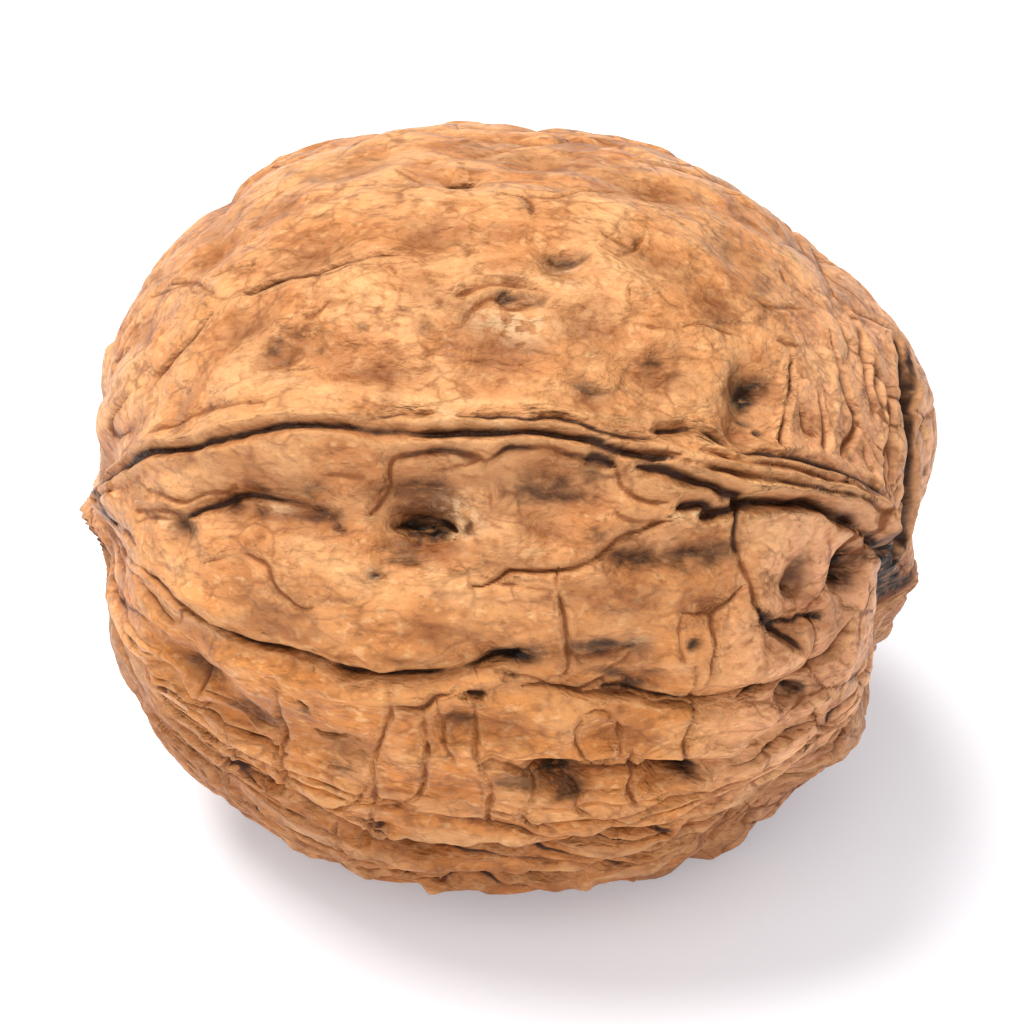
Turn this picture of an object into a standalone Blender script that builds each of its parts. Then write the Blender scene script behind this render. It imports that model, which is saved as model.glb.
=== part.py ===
"""A walnut in its shell, as one closed solid.

The nut lies on its side. Its long axis runs along X with the stem end at +X, Z is up, and the nut rests on a small
flat spot at Z = 0. A place on the shell is given by two angles in degrees: how far along the axis it lies, from -90
at the tip to 90 at the stem end, and how far round the axis it lies, from 0 on the front seam and up over the top
cheek to 180 on the back seam. All heights and widths below are in millimetres.
"""

import math

import bmesh
import bpy
import numpy as np

MM = 0.001

# The plain form, before any relief.
TIP_HALF_LENGTH = 18.6
STEM_HALF_LENGTH = 19.6
TIP_BLUNTNESS = 2.5
STEM_BLUNTNESS = 2.27
MEAN_RADIUS = 18.0
CHEEK_SWELL = 2.5
CHEEK_SWELL_ROUND = 74.4
SEAM_SWELL = 0.76
THREE_SIDED_SWELL = 0.75
THREE_SIDED_ROUND = 4.6

# How the nut lies: the front seam points up at this angle, and the underside is pressed flat by this much.
SEAM_ABOVE_LEVEL = 58.4
FLAT_SPOT_DEPTH = 0.22
FLAT_SPOT_FADE = 0.9
FLAT_SPOT_REACH = 0.05

SQUARES_ALONG_CUBE_EDGE = 100
TRIANGLES_KEPT = 11600
STEPS_ALONG_LINE = 5
SEED = 17

# Broad lobes and hollows of the shell: along, round, spread in degrees, height.
LOBES = [
    (-60, 45, 15, 1.3),
    (64, 72, 14, 1.4),
    (84, -75, 15, -1.2),
    (73, -160, 15, -1.6),
    (66, -112, 11, 1.0),
    (72, 38, 12, 0.4),
    (50, -105, 14, -1.7),
    (-6, -109, 16, 0.5),
    (-48, -85, 20, -1.1),
    (-82, -75, 13, -0.8),
    (-72, -18, 12, -0.5),
    (0, 182, 34, 1.0),
    (0, 126, 26, -0.6),
    (0, 232, 22, -0.4),
]

# The raised band of the seam, front and back, from tip to stem end.
FRONT_SEAM = [(-88, -10), (-66, -12), (-52, -7.5), (-40, -6.7), (-30, -5.8), (-20, -4.4), (-10, -4.5), (0, -3.8),
              (10, -3), (20, -3.7), (30, -3.6), (38, -2.8), (46, -2), (55, -1.5), (63, -1), (72, -2), (88, -4)]
BACK_SEAM = [(-88, 180), (-64, 176), (-40, 181), (-18, 184), (6, 180), (30, 177), (52, 182), (72, 179), (88, 180)]
SEAM_HALF_WIDTH = 1.35
SEAM_HEIGHT = 0.7
KEEL_EXTRA_HEIGHT = 0.5
SEAM_LINE_WIDTH = 0.38
SEAM_LINE_DEPTH = 0.5

# Long furrows and cracks: width, depth and the line that each follows.
FURROWS = [
    (0.60, 1.05, [(26, -11.5), (31, -10.4), (36, -9.4), (42, -8), (48, -6.4), (54, -5.4), (60, -5.2), (65, -6),
                  (68, -11), (70, -18), (73, -25)]),
    (0.80, 0.55, [(-53, -34), (-46, -38.5), (-37, -38.3), (-30, -38.8), (-22, -39.6), (-14, -41), (-7, -40.4),
                  (0, -39.2), (5, -36.8), (10, -34.8)]),
    (0.85, 0.50, [(2, -42.5), (10, -41), (20, -41), (27, -42.5), (34, -45), (43, -45.6), (50, -44.8), (57, -41),
                  (60.5, -36), (61, -28)]),
    (0.80, 0.60, [(6, -57), (14, -60.2), (20, -62.5), (26, -62), (33, -63.5), (36, -66), (41, -66), (46, -66.5),
                  (50, -63), (55, -60), (58, -58)]),
    (0.75, 0.50, [(-55, -56), (-52, -60), (-47, -64), (-42, -62.5), (-36, -67), (-32, -68)]),
    (0.75, 0.50, [(-42, -86), (-30, -85), (-20, -90), (-8, -91), (4, -90), (15, -88.5), (24, -85.5), (34, -84),
                  (43, -82)]),
    (0.75, 0.45, [(-16, -98), (-4, -103), (8, -102), (20, -99), (30, -94), (41, -90), (48, -92)]),
    (0.60, 0.30, [(27.5, -12.7), (23, -15.2), (20, -18.2), (15.5, -20.7), (8, -21.4), (2, -24.4)]),
    (0.60, 0.25, [(37, -12), (38, -17), (42, -25), (45, -30), (48, -34), (52, -38)]),
    (0.60, 0.25, [(-49.5, 7.5), (-44, 12), (-38, 17), (-35, 19), (-29, 19), (-21, 20.5), (-14, 22.3), (-11, 22)]),
    (0.60, 0.30, [(43, 13), (42, 9), (41.5, 3)]),
    (0.80, 0.80, [(74, 4), (76, 25), (73, 45), (68, 56), (62, 62), (56, 64)]),
]

# Dents and soft hollows: along, round, half length, half width, depth.
DENTS = [
    (-5.5, -16, 1.6, 0.8, 0.9),
    (-5, -14, 3.6, 2.2, 0.4),
    (-33, -15.3, 2.4, 1.0, 0.5),
    (-22, -15.6, 2.4, 1.0, 0.5),
    (-27, -14.5, 5.0, 1.9, 0.3),
    (-42, -20, 0.9, 0.9, 0.4),
    (12, -10, 3.0, 1.3, 0.35),
    (29, -18, 3.2, 1.2, 0.45),
    (50, -21, 1.2, 1.3, 0.6),
    (58.5, -18.5, 0.9, 0.9, 1.0),
    (50, -31, 1.4, 0.9, 0.5),
    (37, 8.5, 1.0, 1.2, 0.8),
    (36.5, 2.8, 1.0, 0.7, 0.4),
    (24, 8.5, 2.4, 1.4, 0.4),
    (15, 2.7, 1.5, 0.8, 0.3),
    (9, 22.3, 1.3, 0.9, 0.55),
    (4.5, 15.5, 1.6, 0.8, 0.4),
    (3, 9, 2.6, 2.0, 0.25),
    (-25, 7, 1.7, 1.3, 0.4),
    (-6, 39.5, 1.0, 0.7, 0.5),
    (22, -34, 3.2, 1.2, 0.4),
    (29, -40, 2.0, 0.9, 0.35),
    (8, -36, 2.0, 0.9, 0.4),
    (53.5, -49.5, 1.0, 0.8, 0.8),
    (36, -66, 1.0, 0.9, 0.8),
    (17, -62, 2.0, 0.9, 0.4),
    (-21, -59, 2.2, 1.2, 0.4),
    (-45, -50, 1.8, 1.3, 0.3),
    (71, -4, 1.6, 1.6, 1.0),
]

# The shell's low cells, parted by shallow veins, and the wrinkles that run into both ends.
CELL_LENGTH = 6.5
CELL_WIDTH = 4.6
CELL_HEIGHT = 0.42
VEIN_WIDTH = 0.2
WRINKLE_HEIGHT = 0.65
WRINKLES_FROM = 44
WAVE_HEIGHT = 0.45
WAVE_LENGTH = 9.0


def direction(along, around):
    """The unit direction of a place on the shell, in the nut's own axes: stem end, front seam, top cheek."""
    a = np.radians(np.asarray(along, float))
    r = np.radians(np.asarray(around, float))
    return np.stack([np.sin(a), np.cos(a) * np.cos(r), np.cos(a) * np.sin(r)], axis=-1)


def plain_radius(way):
    """Distance from the nut's middle to its plain form."""
    across = np.hypot(way[..., 1], way[..., 2])
    around = np.arctan2(way[..., 2], way[..., 1])
    girth = MEAN_RADIUS + CHEEK_SWELL * np.cos(around - math.radians(CHEEK_SWELL_ROUND))
    girth = girth + SEAM_SWELL * np.cos(2 * around)
    girth = girth + THREE_SIDED_SWELL * np.cos(3 * around - math.radians(THREE_SIDED_ROUND))
    at_tip = way[..., 0] < 0
    half_length = np.where(at_tip, TIP_HALF_LENGTH, STEM_HALF_LENGTH)
    bluntness = np.where(at_tip, TIP_BLUNTNESS, STEM_BLUNTNESS)
    return ((abs(way[..., 0]) / half_length) ** bluntness + (across / girth) ** bluntness) ** (-1 / bluntness)


def on_shell(along, around):
    way = direction(along, around)
    return way * plain_radius(way)[..., None]


def rounded_line(stops):
    """Points on the plain form along a smooth curve through the stops."""
    stops = np.asarray(stops, float)
    before = np.vstack([2 * stops[0] - stops[1], stops])
    ends = np.vstack([before, 2 * stops[-1] - stops[-2]])
    pieces = []
    for a, b, c, d in zip(ends[:-3], ends[1:-2], ends[2:-1], ends[3:]):
        for u in np.arange(STEPS_ALONG_LINE) / STEPS_ALONG_LINE:
            pieces.append(b + 0.5 * u * (c - a + u * (2 * a - 5 * b + 4 * c - d + u * (3 * (b - c) + d - a))))
    pieces.append(stops[-1])
    pieces = np.array(pieces)
    return on_shell(pieces[:, 0], pieces[:, 1])


def distance_to_line(points, line):
    nearest = np.full(len(points), 99.0)
    for start, end in zip(line[:-1], line[1:]):
        step = end - start
        share = np.clip((points - start) @ step / (step @ step), 0, 1)
        gap = np.linalg.norm(points - start - share[:, None] * step, axis=1)
        nearest = np.minimum(nearest, gap)
    return nearest


def scatter(cells, salt):
    """A repeatable draw from 0 to 1 for each whole-number cell of space."""
    mixed = cells[..., 0] * 374761393 + cells[..., 1] * 668265263 + cells[..., 2] * 1274126177 + salt * 974711
    mixed = np.bitwise_and(mixed, 0xFFFFFFFF)
    mixed = np.bitwise_and(np.bitwise_xor(mixed, mixed >> 13) * 1103515245, 0xFFFFFFFF)
    return np.bitwise_xor(mixed, mixed >> 16) / 0xFFFFFFFF


def waves(places, salt):
    """Smooth rolling values between -1 and 1, one swell to each unit of space."""
    corner = np.floor(places).astype(np.int64)
    part = places - corner
    ease = part * part * (3 - 2 * part)
    total = np.zeros(len(places))
    for step in np.ndindex(2, 2, 2):
        weight = np.prod(np.where(np.array(step) == 1, ease, 1 - ease), axis=1)
        total += weight * scatter(corner + np.array(step), salt)
    return 2 * total - 1


def cell_edges(places, salt):
    """How far each place lies from the edge of its cell: 0 on the edge, about half in the middle."""
    corner = np.floor(places).astype(np.int64)
    first = np.full(len(places), 9.0)
    second = np.full(len(places), 9.0)
    for step in np.ndindex(3, 3, 3):
        cell = corner + np.array(step) - 1
        seed = np.stack([scatter(cell, salt + k) for k in range(3)], axis=1)
        gap = np.linalg.norm(cell + seed - places, axis=1)
        second = np.minimum(second, np.maximum(first, gap))
        first = np.minimum(first, gap)
    return second - first


def hidden_furrows(rng):
    """Furrows on the back and under the nut, wandering from end to end as the ones in front do."""
    lines = []
    for around in (80, 96, 112, 127, 143, 158, 203, 219, 234, 243):
        start = rng.uniform(-62, -20)
        end = start + rng.uniform(45, 85)
        along = np.linspace(start, min(end, 66), 7)
        wander = np.cumsum(rng.uniform(-3.6, 3.6, 7))
        lines.append((rng.uniform(0.7, 1.0), rng.uniform(0.45, 0.8), list(zip(along, around + wander))))
    return lines


def hidden_dents(rng):
    dents = []
    for _ in range(16):
        around = rng.uniform(85, 250)
        dents.append((rng.uniform(-55, 55), around, rng.uniform(0.8, 2.4), rng.uniform(0.7, 1.3),
                      rng.uniform(0.25, 0.7)))
    return dents


def relief(way):
    """Height of the shell above its plain form, in each direction."""
    points = way * plain_radius(way)[:, None]
    along = np.degrees(np.arcsin(np.clip(way[:, 0], -1, 1)))
    around = np.arctan2(way[:, 2], way[:, 1])
    rng = np.random.RandomState(SEED)
    height = np.zeros(len(way))

    for lobe_along, lobe_around, spread, lift in LOBES:
        turn = np.degrees(np.arccos(np.clip(way @ direction(lobe_along, lobe_around), -1, 1)))
        height += lift * np.exp(-(turn / spread) ** 2)

    keel = 1 / (1 + np.exp(-(along - 32) / 6))
    for seam in (FRONT_SEAM, BACK_SEAM):
        gap = distance_to_line(points, rounded_line(seam))
        band = SEAM_HEIGHT + KEEL_EXTRA_HEIGHT * keel
        height += band * np.exp(-(gap / SEAM_HALF_WIDTH) ** 2)
        height -= SEAM_LINE_DEPTH * (1 - 0.6 * keel) * np.exp(-(gap / SEAM_LINE_WIDTH) ** 2)

    for width, depth, stops in FURROWS + hidden_furrows(rng):
        gap = distance_to_line(points, rounded_line(stops))
        height -= depth * np.exp(-(gap / width) ** 2)
        height += 0.25 * depth * np.exp(-((gap - 2.2 * width) / width) ** 2)

    for dent_along, dent_around, half_length, half_width, depth in DENTS + hidden_dents(rng):
        offset = points - on_shell(dent_along, dent_around)
        lengthwise = offset[:, 0] / math.cos(math.radians(dent_along)) ** 0.5
        sidewise = np.sqrt(np.maximum((offset ** 2).sum(axis=1) - offset[:, 0] ** 2, 0))
        height -= depth * np.exp(-(lengthwise / half_length) ** 2 - (sidewise / half_width) ** 2)

    stretch = np.array([1 / CELL_LENGTH, 1 / CELL_WIDTH, 1 / CELL_WIDTH])
    bend = 0.35 * np.stack([waves(points / 4.0, 40 + k) for k in range(3)], axis=1)
    edge = cell_edges(points * stretch + bend, 7)
    height += CELL_HEIGHT * (1 - np.exp(-edge / VEIN_WIDTH)) - 0.5 * CELL_HEIGHT
    height += WAVE_HEIGHT * waves(points / WAVE_LENGTH, 3)

    toward_ends = np.clip((abs(along) - WRINKLES_FROM) / 25, 0, 1) * np.clip((90 - abs(along)) / 12, 0, 1)
    ring = np.stack([4.2 * np.cos(around), 4.2 * np.sin(around), points[:, 0] / 9.0], axis=1)
    height += WRINKLE_HEIGHT * toward_ends * waves(ring, 21)
    return height


def cube_sphere(squares):
    """Directions spread evenly over a ball, and the squares between them."""
    places = {}
    ways = []
    faces = []
    edge = np.tan(np.linspace(-math.pi / 4, math.pi / 4, squares + 1))
    edge[0], edge[-1] = -1.0, 1.0
    for axis in range(3):
        for side in (-1, 1):
            grid = np.empty((squares + 1, squares + 1), int)
            for i in range(squares + 1):
                for j in range(squares + 1):
                    spot = [0.0, 0.0, 0.0]
                    spot[axis] = float(side)
                    spot[(axis + 1) % 3] = edge[i]
                    spot[(axis + 2) % 3] = edge[j]
                    key = tuple(round(v, 6) for v in spot)
                    if key not in places:
                        places[key] = len(ways)
                        ways.append(spot)
                    grid[i, j] = places[key]
            for i in range(squares):
                for j in range(squares):
                    corners = [grid[i, j], grid[i + 1, j], grid[i + 1, j + 1], grid[i, j + 1]]
                    faces.append([int(c) for c in (corners if side > 0 else corners[::-1])])
    ways = np.array(ways)
    return ways / np.linalg.norm(ways, axis=1, keepdims=True), faces


def shell_points(world_way):
    """The finished shell in world axes, in millimetres, standing on Z = 0 about its own middle."""
    tilt = math.radians(SEAM_ABOVE_LEVEL)
    seam_way = np.array([0, -math.cos(tilt), math.sin(tilt)])
    cheek_way = np.array([0, math.sin(tilt), math.cos(tilt)])
    nut_way = np.stack([world_way[:, 0], world_way @ seam_way, world_way @ cheek_way], axis=1)
    plain = plain_radius(nut_way)
    lowest = (world_way[:, 2] * plain).min()
    floor = lowest + FLAT_SPOT_DEPTH
    height = relief(nut_way)
    above_floor = world_way[:, 2] * plain - lowest
    near_floor = 1 - np.exp(-(above_floor / FLAT_SPOT_FADE) ** 2)
    radius = plain + height * near_floor
    down = np.minimum(world_way[:, 2], -1e-6)
    radius = np.where(world_way[:, 2] < 0, np.minimum(radius, floor / down), radius)
    points = world_way * radius[:, None]
    points[:, 2] -= floor
    middle = (points.min(axis=0) + points.max(axis=0)) / 2
    points[:, :2] -= middle[:2]
    return points


def shell_material():
    material = bpy.data.materials.new("walnut_shell")
    material.use_nodes = True
    shader = material.node_tree.nodes["Principled BSDF"]
    shader.inputs["Base Color"].default_value = (0.56, 0.31, 0.14, 1)
    shader.inputs["Roughness"].default_value = 0.6
    shader.inputs["Metallic"].default_value = 0.0
    material.diffuse_color = (0.56, 0.31, 0.14, 1)
    return material


def build_walnut():
    ways, faces = cube_sphere(SQUARES_ALONG_CUBE_EDGE)
    points = shell_points(ways) * MM
    shape = bmesh.new()
    corners = [shape.verts.new(p) for p in points]
    for face in faces:
        shape.faces.new([corners[k] for k in face])
    bmesh.ops.triangulate(shape, faces=shape.faces[:])
    bmesh.ops.recalc_face_normals(shape, faces=shape.faces[:])
    mesh = bpy.data.meshes.new("walnut")
    shape.to_mesh(mesh)
    shape.free()
    mesh.shade_smooth()
    mesh.materials.append(shell_material())
    nut = bpy.data.objects.new("walnut", mesh)
    bpy.context.scene.collection.objects.link(nut)
    thin = nut.modifiers.new("keep_triangles_at_the_furrows", "DECIMATE")
    thin.ratio = TRIANGLES_KEPT / len(mesh.polygons)
    seen = nut.evaluated_get(bpy.context.evaluated_depsgraph_get())
    thinned = bpy.data.meshes.new_from_object(seen)
    nut.modifiers.clear()
    nut.data = thinned
    bpy.data.meshes.remove(mesh)
    thinned.name = "walnut"
    for corner in thinned.vertices:
        if corner.co.z < FLAT_SPOT_REACH * MM:
            corner.co.z = 0.0
    return nut


for old in list(bpy.data.objects):
    bpy.data.objects.remove(old)
build_walnut()
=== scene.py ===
import math

import bpy
import numpy as np
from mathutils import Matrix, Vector


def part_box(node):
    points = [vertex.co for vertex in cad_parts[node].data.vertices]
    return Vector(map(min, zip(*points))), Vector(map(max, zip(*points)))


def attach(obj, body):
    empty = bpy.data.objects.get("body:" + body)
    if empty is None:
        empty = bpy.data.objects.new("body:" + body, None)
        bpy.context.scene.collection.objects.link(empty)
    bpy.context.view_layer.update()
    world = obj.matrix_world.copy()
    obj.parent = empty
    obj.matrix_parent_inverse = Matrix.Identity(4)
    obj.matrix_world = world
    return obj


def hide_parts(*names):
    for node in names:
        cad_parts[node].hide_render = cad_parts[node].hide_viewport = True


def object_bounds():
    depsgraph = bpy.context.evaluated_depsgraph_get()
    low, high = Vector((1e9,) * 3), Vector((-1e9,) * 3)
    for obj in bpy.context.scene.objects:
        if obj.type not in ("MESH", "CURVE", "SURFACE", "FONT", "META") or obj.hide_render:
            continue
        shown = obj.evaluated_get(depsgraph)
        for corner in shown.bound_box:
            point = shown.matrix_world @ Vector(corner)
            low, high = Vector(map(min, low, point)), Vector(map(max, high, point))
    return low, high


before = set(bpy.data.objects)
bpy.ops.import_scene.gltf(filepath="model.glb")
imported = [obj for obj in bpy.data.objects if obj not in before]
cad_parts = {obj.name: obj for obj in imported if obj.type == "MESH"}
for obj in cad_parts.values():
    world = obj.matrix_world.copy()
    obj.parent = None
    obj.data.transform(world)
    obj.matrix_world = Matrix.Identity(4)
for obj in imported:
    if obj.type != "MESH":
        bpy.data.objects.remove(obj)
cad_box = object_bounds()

# The shell's form
# A walnut shell grows as one hard, hollow ball, a little longer than it is wide, with a cheek on each side of
# its seam. It lies on its side, with its stem end at +X, on a small spot where it is pressed flat.
# Its sizes are in millimetres and its angles in degrees.
MM = 0.001
TIP_HALF_LENGTH = 18.6
STEM_HALF_LENGTH = 19.6
TIP_BLUNTNESS = 2.5
STEM_BLUNTNESS = 2.27
MEAN_RADIUS = 18.0
CHEEK_SWELL = 2.5
CHEEK_SWELL_ROUND = 74.4
SEAM_SWELL = 0.76
THREE_SIDED_SWELL = 0.75
THREE_SIDED_ROUND = 4.6
SEAM_ABOVE_LEVEL = 58.4
FLAT_SPOT_DEPTH = 0.22
FLAT_SPOT_FADE = 0.9
FLAT_SPOT_REACH = 0.04

# Broad lobes and hollows: along, round, spread, height.
LOBES = [
    (-60, 45, 15, 1.3),
    (64, 72, 14, 1.4),
    (84, -75, 15, -1.2),
    (73, -160, 15, -1.6),
    (66, -112, 11, 1.0),
    (72, 38, 12, 0.4),
    (50, -105, 14, -1.7),
    (-6, -109, 16, 0.5),
    (-48, -85, 20, -1.1),
    (-82, -75, 13, -0.8),
    (-72, -18, 12, -0.5),
    (0, 182, 34, 1.0),
    (0, 126, 26, -0.6),
    (0, 232, 22, -0.4),
]


def direction(along, around):
    """The unit direction of a place on the shell, in the nut's own axes: stem end, front seam, top cheek.

    A place is two angles: along, from -90 at the tip to 90 at the stem end, and around, from 0 on the front
    seam, up over the top cheek, to 180 on the back seam.
    """
    a = np.radians(np.asarray(along, float))
    r = np.radians(np.asarray(around, float))
    return np.stack([np.sin(a), np.cos(a) * np.cos(r), np.cos(a) * np.sin(r)], axis=-1)


def plain_radius(way):
    """Distance from the nut's middle to its plain form."""
    across = np.hypot(way[..., 1], way[..., 2])
    around = np.arctan2(way[..., 2], way[..., 1])
    girth = MEAN_RADIUS + CHEEK_SWELL * np.cos(around - math.radians(CHEEK_SWELL_ROUND))
    girth = girth + SEAM_SWELL * np.cos(2 * around)
    girth = girth + THREE_SIDED_SWELL * np.cos(3 * around - math.radians(THREE_SIDED_ROUND))
    at_tip = way[..., 0] < 0
    half_length = np.where(at_tip, TIP_HALF_LENGTH, STEM_HALF_LENGTH)
    bluntness = np.where(at_tip, TIP_BLUNTNESS, STEM_BLUNTNESS)
    return ((abs(way[..., 0]) / half_length) ** bluntness + (across / girth) ** bluntness) ** (-1 / bluntness)


def raise_lobes(way, height):
    """Lifts the broad lobes and sinks the broad hollows between them."""
    for along, around, spread, lift in LOBES:
        away = np.degrees(np.arccos(np.clip(way @ direction(along, around), -1, 1)))
        height += lift * np.exp(-(away / spread) ** 2)


# The seam
# The two halves of the shell grew together along a raised band with a fine dark line in it. Near the stem end
# the band rises to a keel with a deep dark cleft under it, where the fibres of the husk held on.
FRONT_SEAM = [(-88, -10), (-66, -12), (-52, -7.5), (-40, -6.7), (-30, -5.8), (-20, -4.4), (-10, -4.5),
              (0, -3.8), (10, -3), (20, -3.7), (30, -3.6), (38, -2.8), (46, -2), (55, -1.5), (63, -1),
              (72, -2), (88, -4)]
BACK_SEAM = [(-88, 180), (-64, 176), (-40, 181), (-18, 184), (6, 180), (30, 177), (52, 182), (72, 179),
             (88, 180)]
SEAM_HALF_WIDTH = 1.35
SEAM_HEIGHT = 0.7
KEEL_EXTRA_HEIGHT = 0.5
KEEL_FROM = 32
KEEL_FADE = 6
STEPS_ALONG_LINE = 5

# Lines of the seam: half width, depth, darkness and the way that each follows.
SEAM_LINES = [
    (0.23, 0.38, 1.0, [(-68, -13), (-60, -9), (-52, -7.6), (-45, -6.8), (-40, -6.6), (-30, -5.8), (-25, -5),
                       (-20, -4.3), (-15, -4.2), (-10, -4.6), (-5, -4.3), (0, -3.8), (5, -3.5), (10, -2.9),
                       (15, -3), (20, -3.9), (25, -4.3), (29, -4.2)]),
    (0.19, 0.28, 0.85, [(29, -4.2), (35, -4.3), (40, -3.9), (45, -3.4), (50, -2.8), (56, -2), (62, -1.2)]),
    (0.17, 0.15, 0.50, [(-47, -2.6), (-44, -2.3), (-40, -1.8), (-35, -1.2), (-30, -0.9), (-26, -1.1)]),
    (0.16, 0.18, 0.85, [(-15, -3), (-12.5, -3.2), (-10, -2.8), (-7.5, -2.2), (-4.5, -1.7)]),
    (0.17, 0.20, 0.90, [(-1, -1.7), (2.5, -1.7), (5.5, -1.6), (8, -1.5), (10, -0.8), (12, -0.7), (14.5, -1.2),
                        (16, -1.6), (18, -2), (21, -1.7), (24, -1.5)]),
    (0.23, 0.25, 0.95, [(24, -0.2), (25.7, 0.1), (27.7, 0.8), (29.8, 1.5)]),
    (0.24, 0.36, 0.95, [(29.8, 1.5), (32, 1.1), (34, 0.6), (36, 0), (38, 0.1), (40, 0.6), (42, 1), (45, 1.8),
                        (47, 2), (49.5, 2.4), (52, 2.4), (54.5, 2.4), (57.5, 2.6), (61.5, 2.8), (66, 2.6)]),
    (0.17, 0.26, 0.75, [(30.5, -2), (35, -1.9), (40, -1.4), (45, -0.7), (50, -0.2), (55, 0.5), (60, 0.8)]),
    (0.21, 0.22, 0.80, [(22.4, -3.6), (24.4, -3.7), (26.4, -3.5), (28.3, -3.2)]),
    (0.23, 0.40, 1.0, [(22.3, -5.7), (25, -5.6), (28, -5.9), (30, -6.1), (33, -6.7), (36, -7.2), (39, -7.3)]),
    (0.31, 0.90, 1.0, [(37, -8), (39, -7.5), (42, -6.8), (46.6, -5.9), (51.8, -5.7), (56, -5.9), (60, -6.6)]),
    (0.26, 0.60, 1.0, [(59.5, -6.4), (64, -7.8), (68.8, -9.4), (71.5, -10), (73.3, -13), (74.8, -19),
                       (76, -25)]),
    (0.30, 0.50, 1.0, [(29.6, -10.4), (30.9, -9.6), (32.7, -9.2), (34.1, -9.7), (36.5, -9), (39, -8)]),
    (0.23, 0.25, 0.95, [(32.5, -11), (33.6, -10.9), (34.8, -10.2)]),
    (0.18, 0.22, 0.85, [(-10.3, -8), (-7.8, -7.1), (-5.5, -6.6), (-3, -6.1), (0, -6.2), (2, -6.5),
                        (3.2, -6.9), (4.5, -5.9), (5.7, -5.3), (9, -4.8), (11, -4.5), (13, -4.8), (15, -4.9),
                        (16.5, -5.3)]),
    (0.28, 0.28, 0.95, [(15.5, -5.1), (17.6, -5.2), (19.8, -5.9)]),
    (0.17, 0.14, 0.65, [(19.8, -5.9), (20.4, -6.9), (21.2, -8), (22.6, -8.9), (24.5, -9.8), (26, -10),
                        (27.8, -9.6)]),
    (0.15, 0.12, 0.60, [(-5, -9.2), (-2.5, -8.2), (-0.5, -7.5), (2, -6.7)]),
    (0.17, 0.14, 0.80, [(-9.5, -7.3), (-10.2, -9.2), (-10.7, -11.2), (-12, -13), (-13.5, -15)]),
    (0.15, 0.10, 0.45, [(3.2, -7), (3.8, -9), (4, -11), (4, -13)]),
    (0.16, 0.10, 0.45, [(21, -11.6), (22.1, -12.5), (24.7, -12.9), (27.9, -12.2)]),
    (0.15, 0.10, 0.50, [(-19, -10.5), (-17, -10.3), (-15, -10.4), (-13.5, -10.2)]),
]

# Strands of fibre left along the keel: half width, height and way.
STRANDS = [
    (0.28, 0.16, [(-50, -5.6), (-35, -4.6), (-20, -2.9), (-8, -3.2), (4, -2.4), (12, -1.9), (19, -2.9)]),
    (0.24, 0.20, [(24, -2.7), (30, -3), (36, -3.2), (43, -2.5), (50, -1.5), (57, -0.6), (63, 0)]),
    (0.22, 0.22, [(29, -0.4), (35, -1), (41, -0.4), (48, 0.8), (55, 1.6), (62, 1.8)]),
    (0.24, 0.22, [(27, -4.8), (33, -5.4), (39, -5.3), (45, -4), (51, -2.9), (58, -2), (65, -2.6), (70, -6)]),
    (0.20, 0.14, [(-4, -5.3), (4, -4.7), (12, -3.8), (20, -4.9), (27, -5)]),
    (0.30, 0.14, [(-12, 0.2), (0, 0.2), (9, 1), (18, 0.4), (24, 1.4)]),
    (0.22, 0.26, [(62, -1.5), (66, -5), (70, -9), (74, -14), (78, -20)]),
    (0.30, 0.20, [(60, 4), (61, 10), (61.5, 17), (60, 25), (57, 33), (52, 42)]),
    (0.30, 0.18, [(51, 7), (51, 14), (50, 21), (48, 27)]),
]


def on_shell(along, around):
    """The point of the plain form at a place."""
    way = direction(along, around)
    return way * plain_radius(way)[..., None]


def rounded_line(stops):
    """Points on the plain form along a smooth curve through the stops."""
    stops = np.asarray(stops, float)
    before = np.vstack([2 * stops[0] - stops[1], stops])
    ends = np.vstack([before, 2 * stops[-1] - stops[-2]])
    pieces = []
    for a, b, c, d in zip(ends[:-3], ends[1:-2], ends[2:-1], ends[3:]):
        for u in np.arange(STEPS_ALONG_LINE) / STEPS_ALONG_LINE:
            pieces.append(b + 0.5 * u * (c - a + u * (2 * a - 5 * b + 4 * c - d + u * (3 * (b - c) + d - a))))
    pieces.append(stops[-1])
    pieces = np.array(pieces)
    return on_shell(pieces[:, 0], pieces[:, 1])


def near(points, places, reach):
    """The points inside the box round the places, widened by reach."""
    inside = np.ones(len(points), bool)
    for axis in range(3):
        inside &= points[:, axis] > places[:, axis].min() - reach
        inside &= points[:, axis] < places[:, axis].max() + reach
    return np.nonzero(inside)[0]


def line_gap(points, stops, reach):
    """The points near the line through the stops, how far each of them lies from it, and how far along it."""
    line = rounded_line(stops)
    close = near(points, line, reach)
    places = points[close]
    nearest = np.full(len(close), 9999.0)
    part = np.zeros(len(close))
    for number, (start, end) in enumerate(zip(line[:-1], line[1:])):
        step = end - start
        share = np.clip((places - start) @ step / (step @ step), 0, 1)
        away = places - start - share[:, None] * step
        gap = np.einsum("ij,ij->i", away, away)
        part = np.where(gap < nearest, (number + share) / (len(line) - 1), part)
        nearest = np.minimum(nearest, gap)
    return close, np.sqrt(nearest), part


def strengthen(mark, close, amount):
    """Raises a mark at the close points, where it is weaker than the amount."""
    mark[close] = np.maximum(mark[close], amount)


def raise_seam(points, along, height):
    """Lifts the band of the seam in front and behind, higher along the keel."""
    keel = 1 / (1 + np.exp(-(along - KEEL_FROM) / KEEL_FADE))
    for seam in (FRONT_SEAM, BACK_SEAM):
        close, gap, _ = line_gap(points, seam, 5.0)
        band = SEAM_HEIGHT + KEEL_EXTRA_HEIGHT * keel[close]
        height[close] += band * np.exp(-(gap / SEAM_HALF_WIDTH) ** 2)


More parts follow.
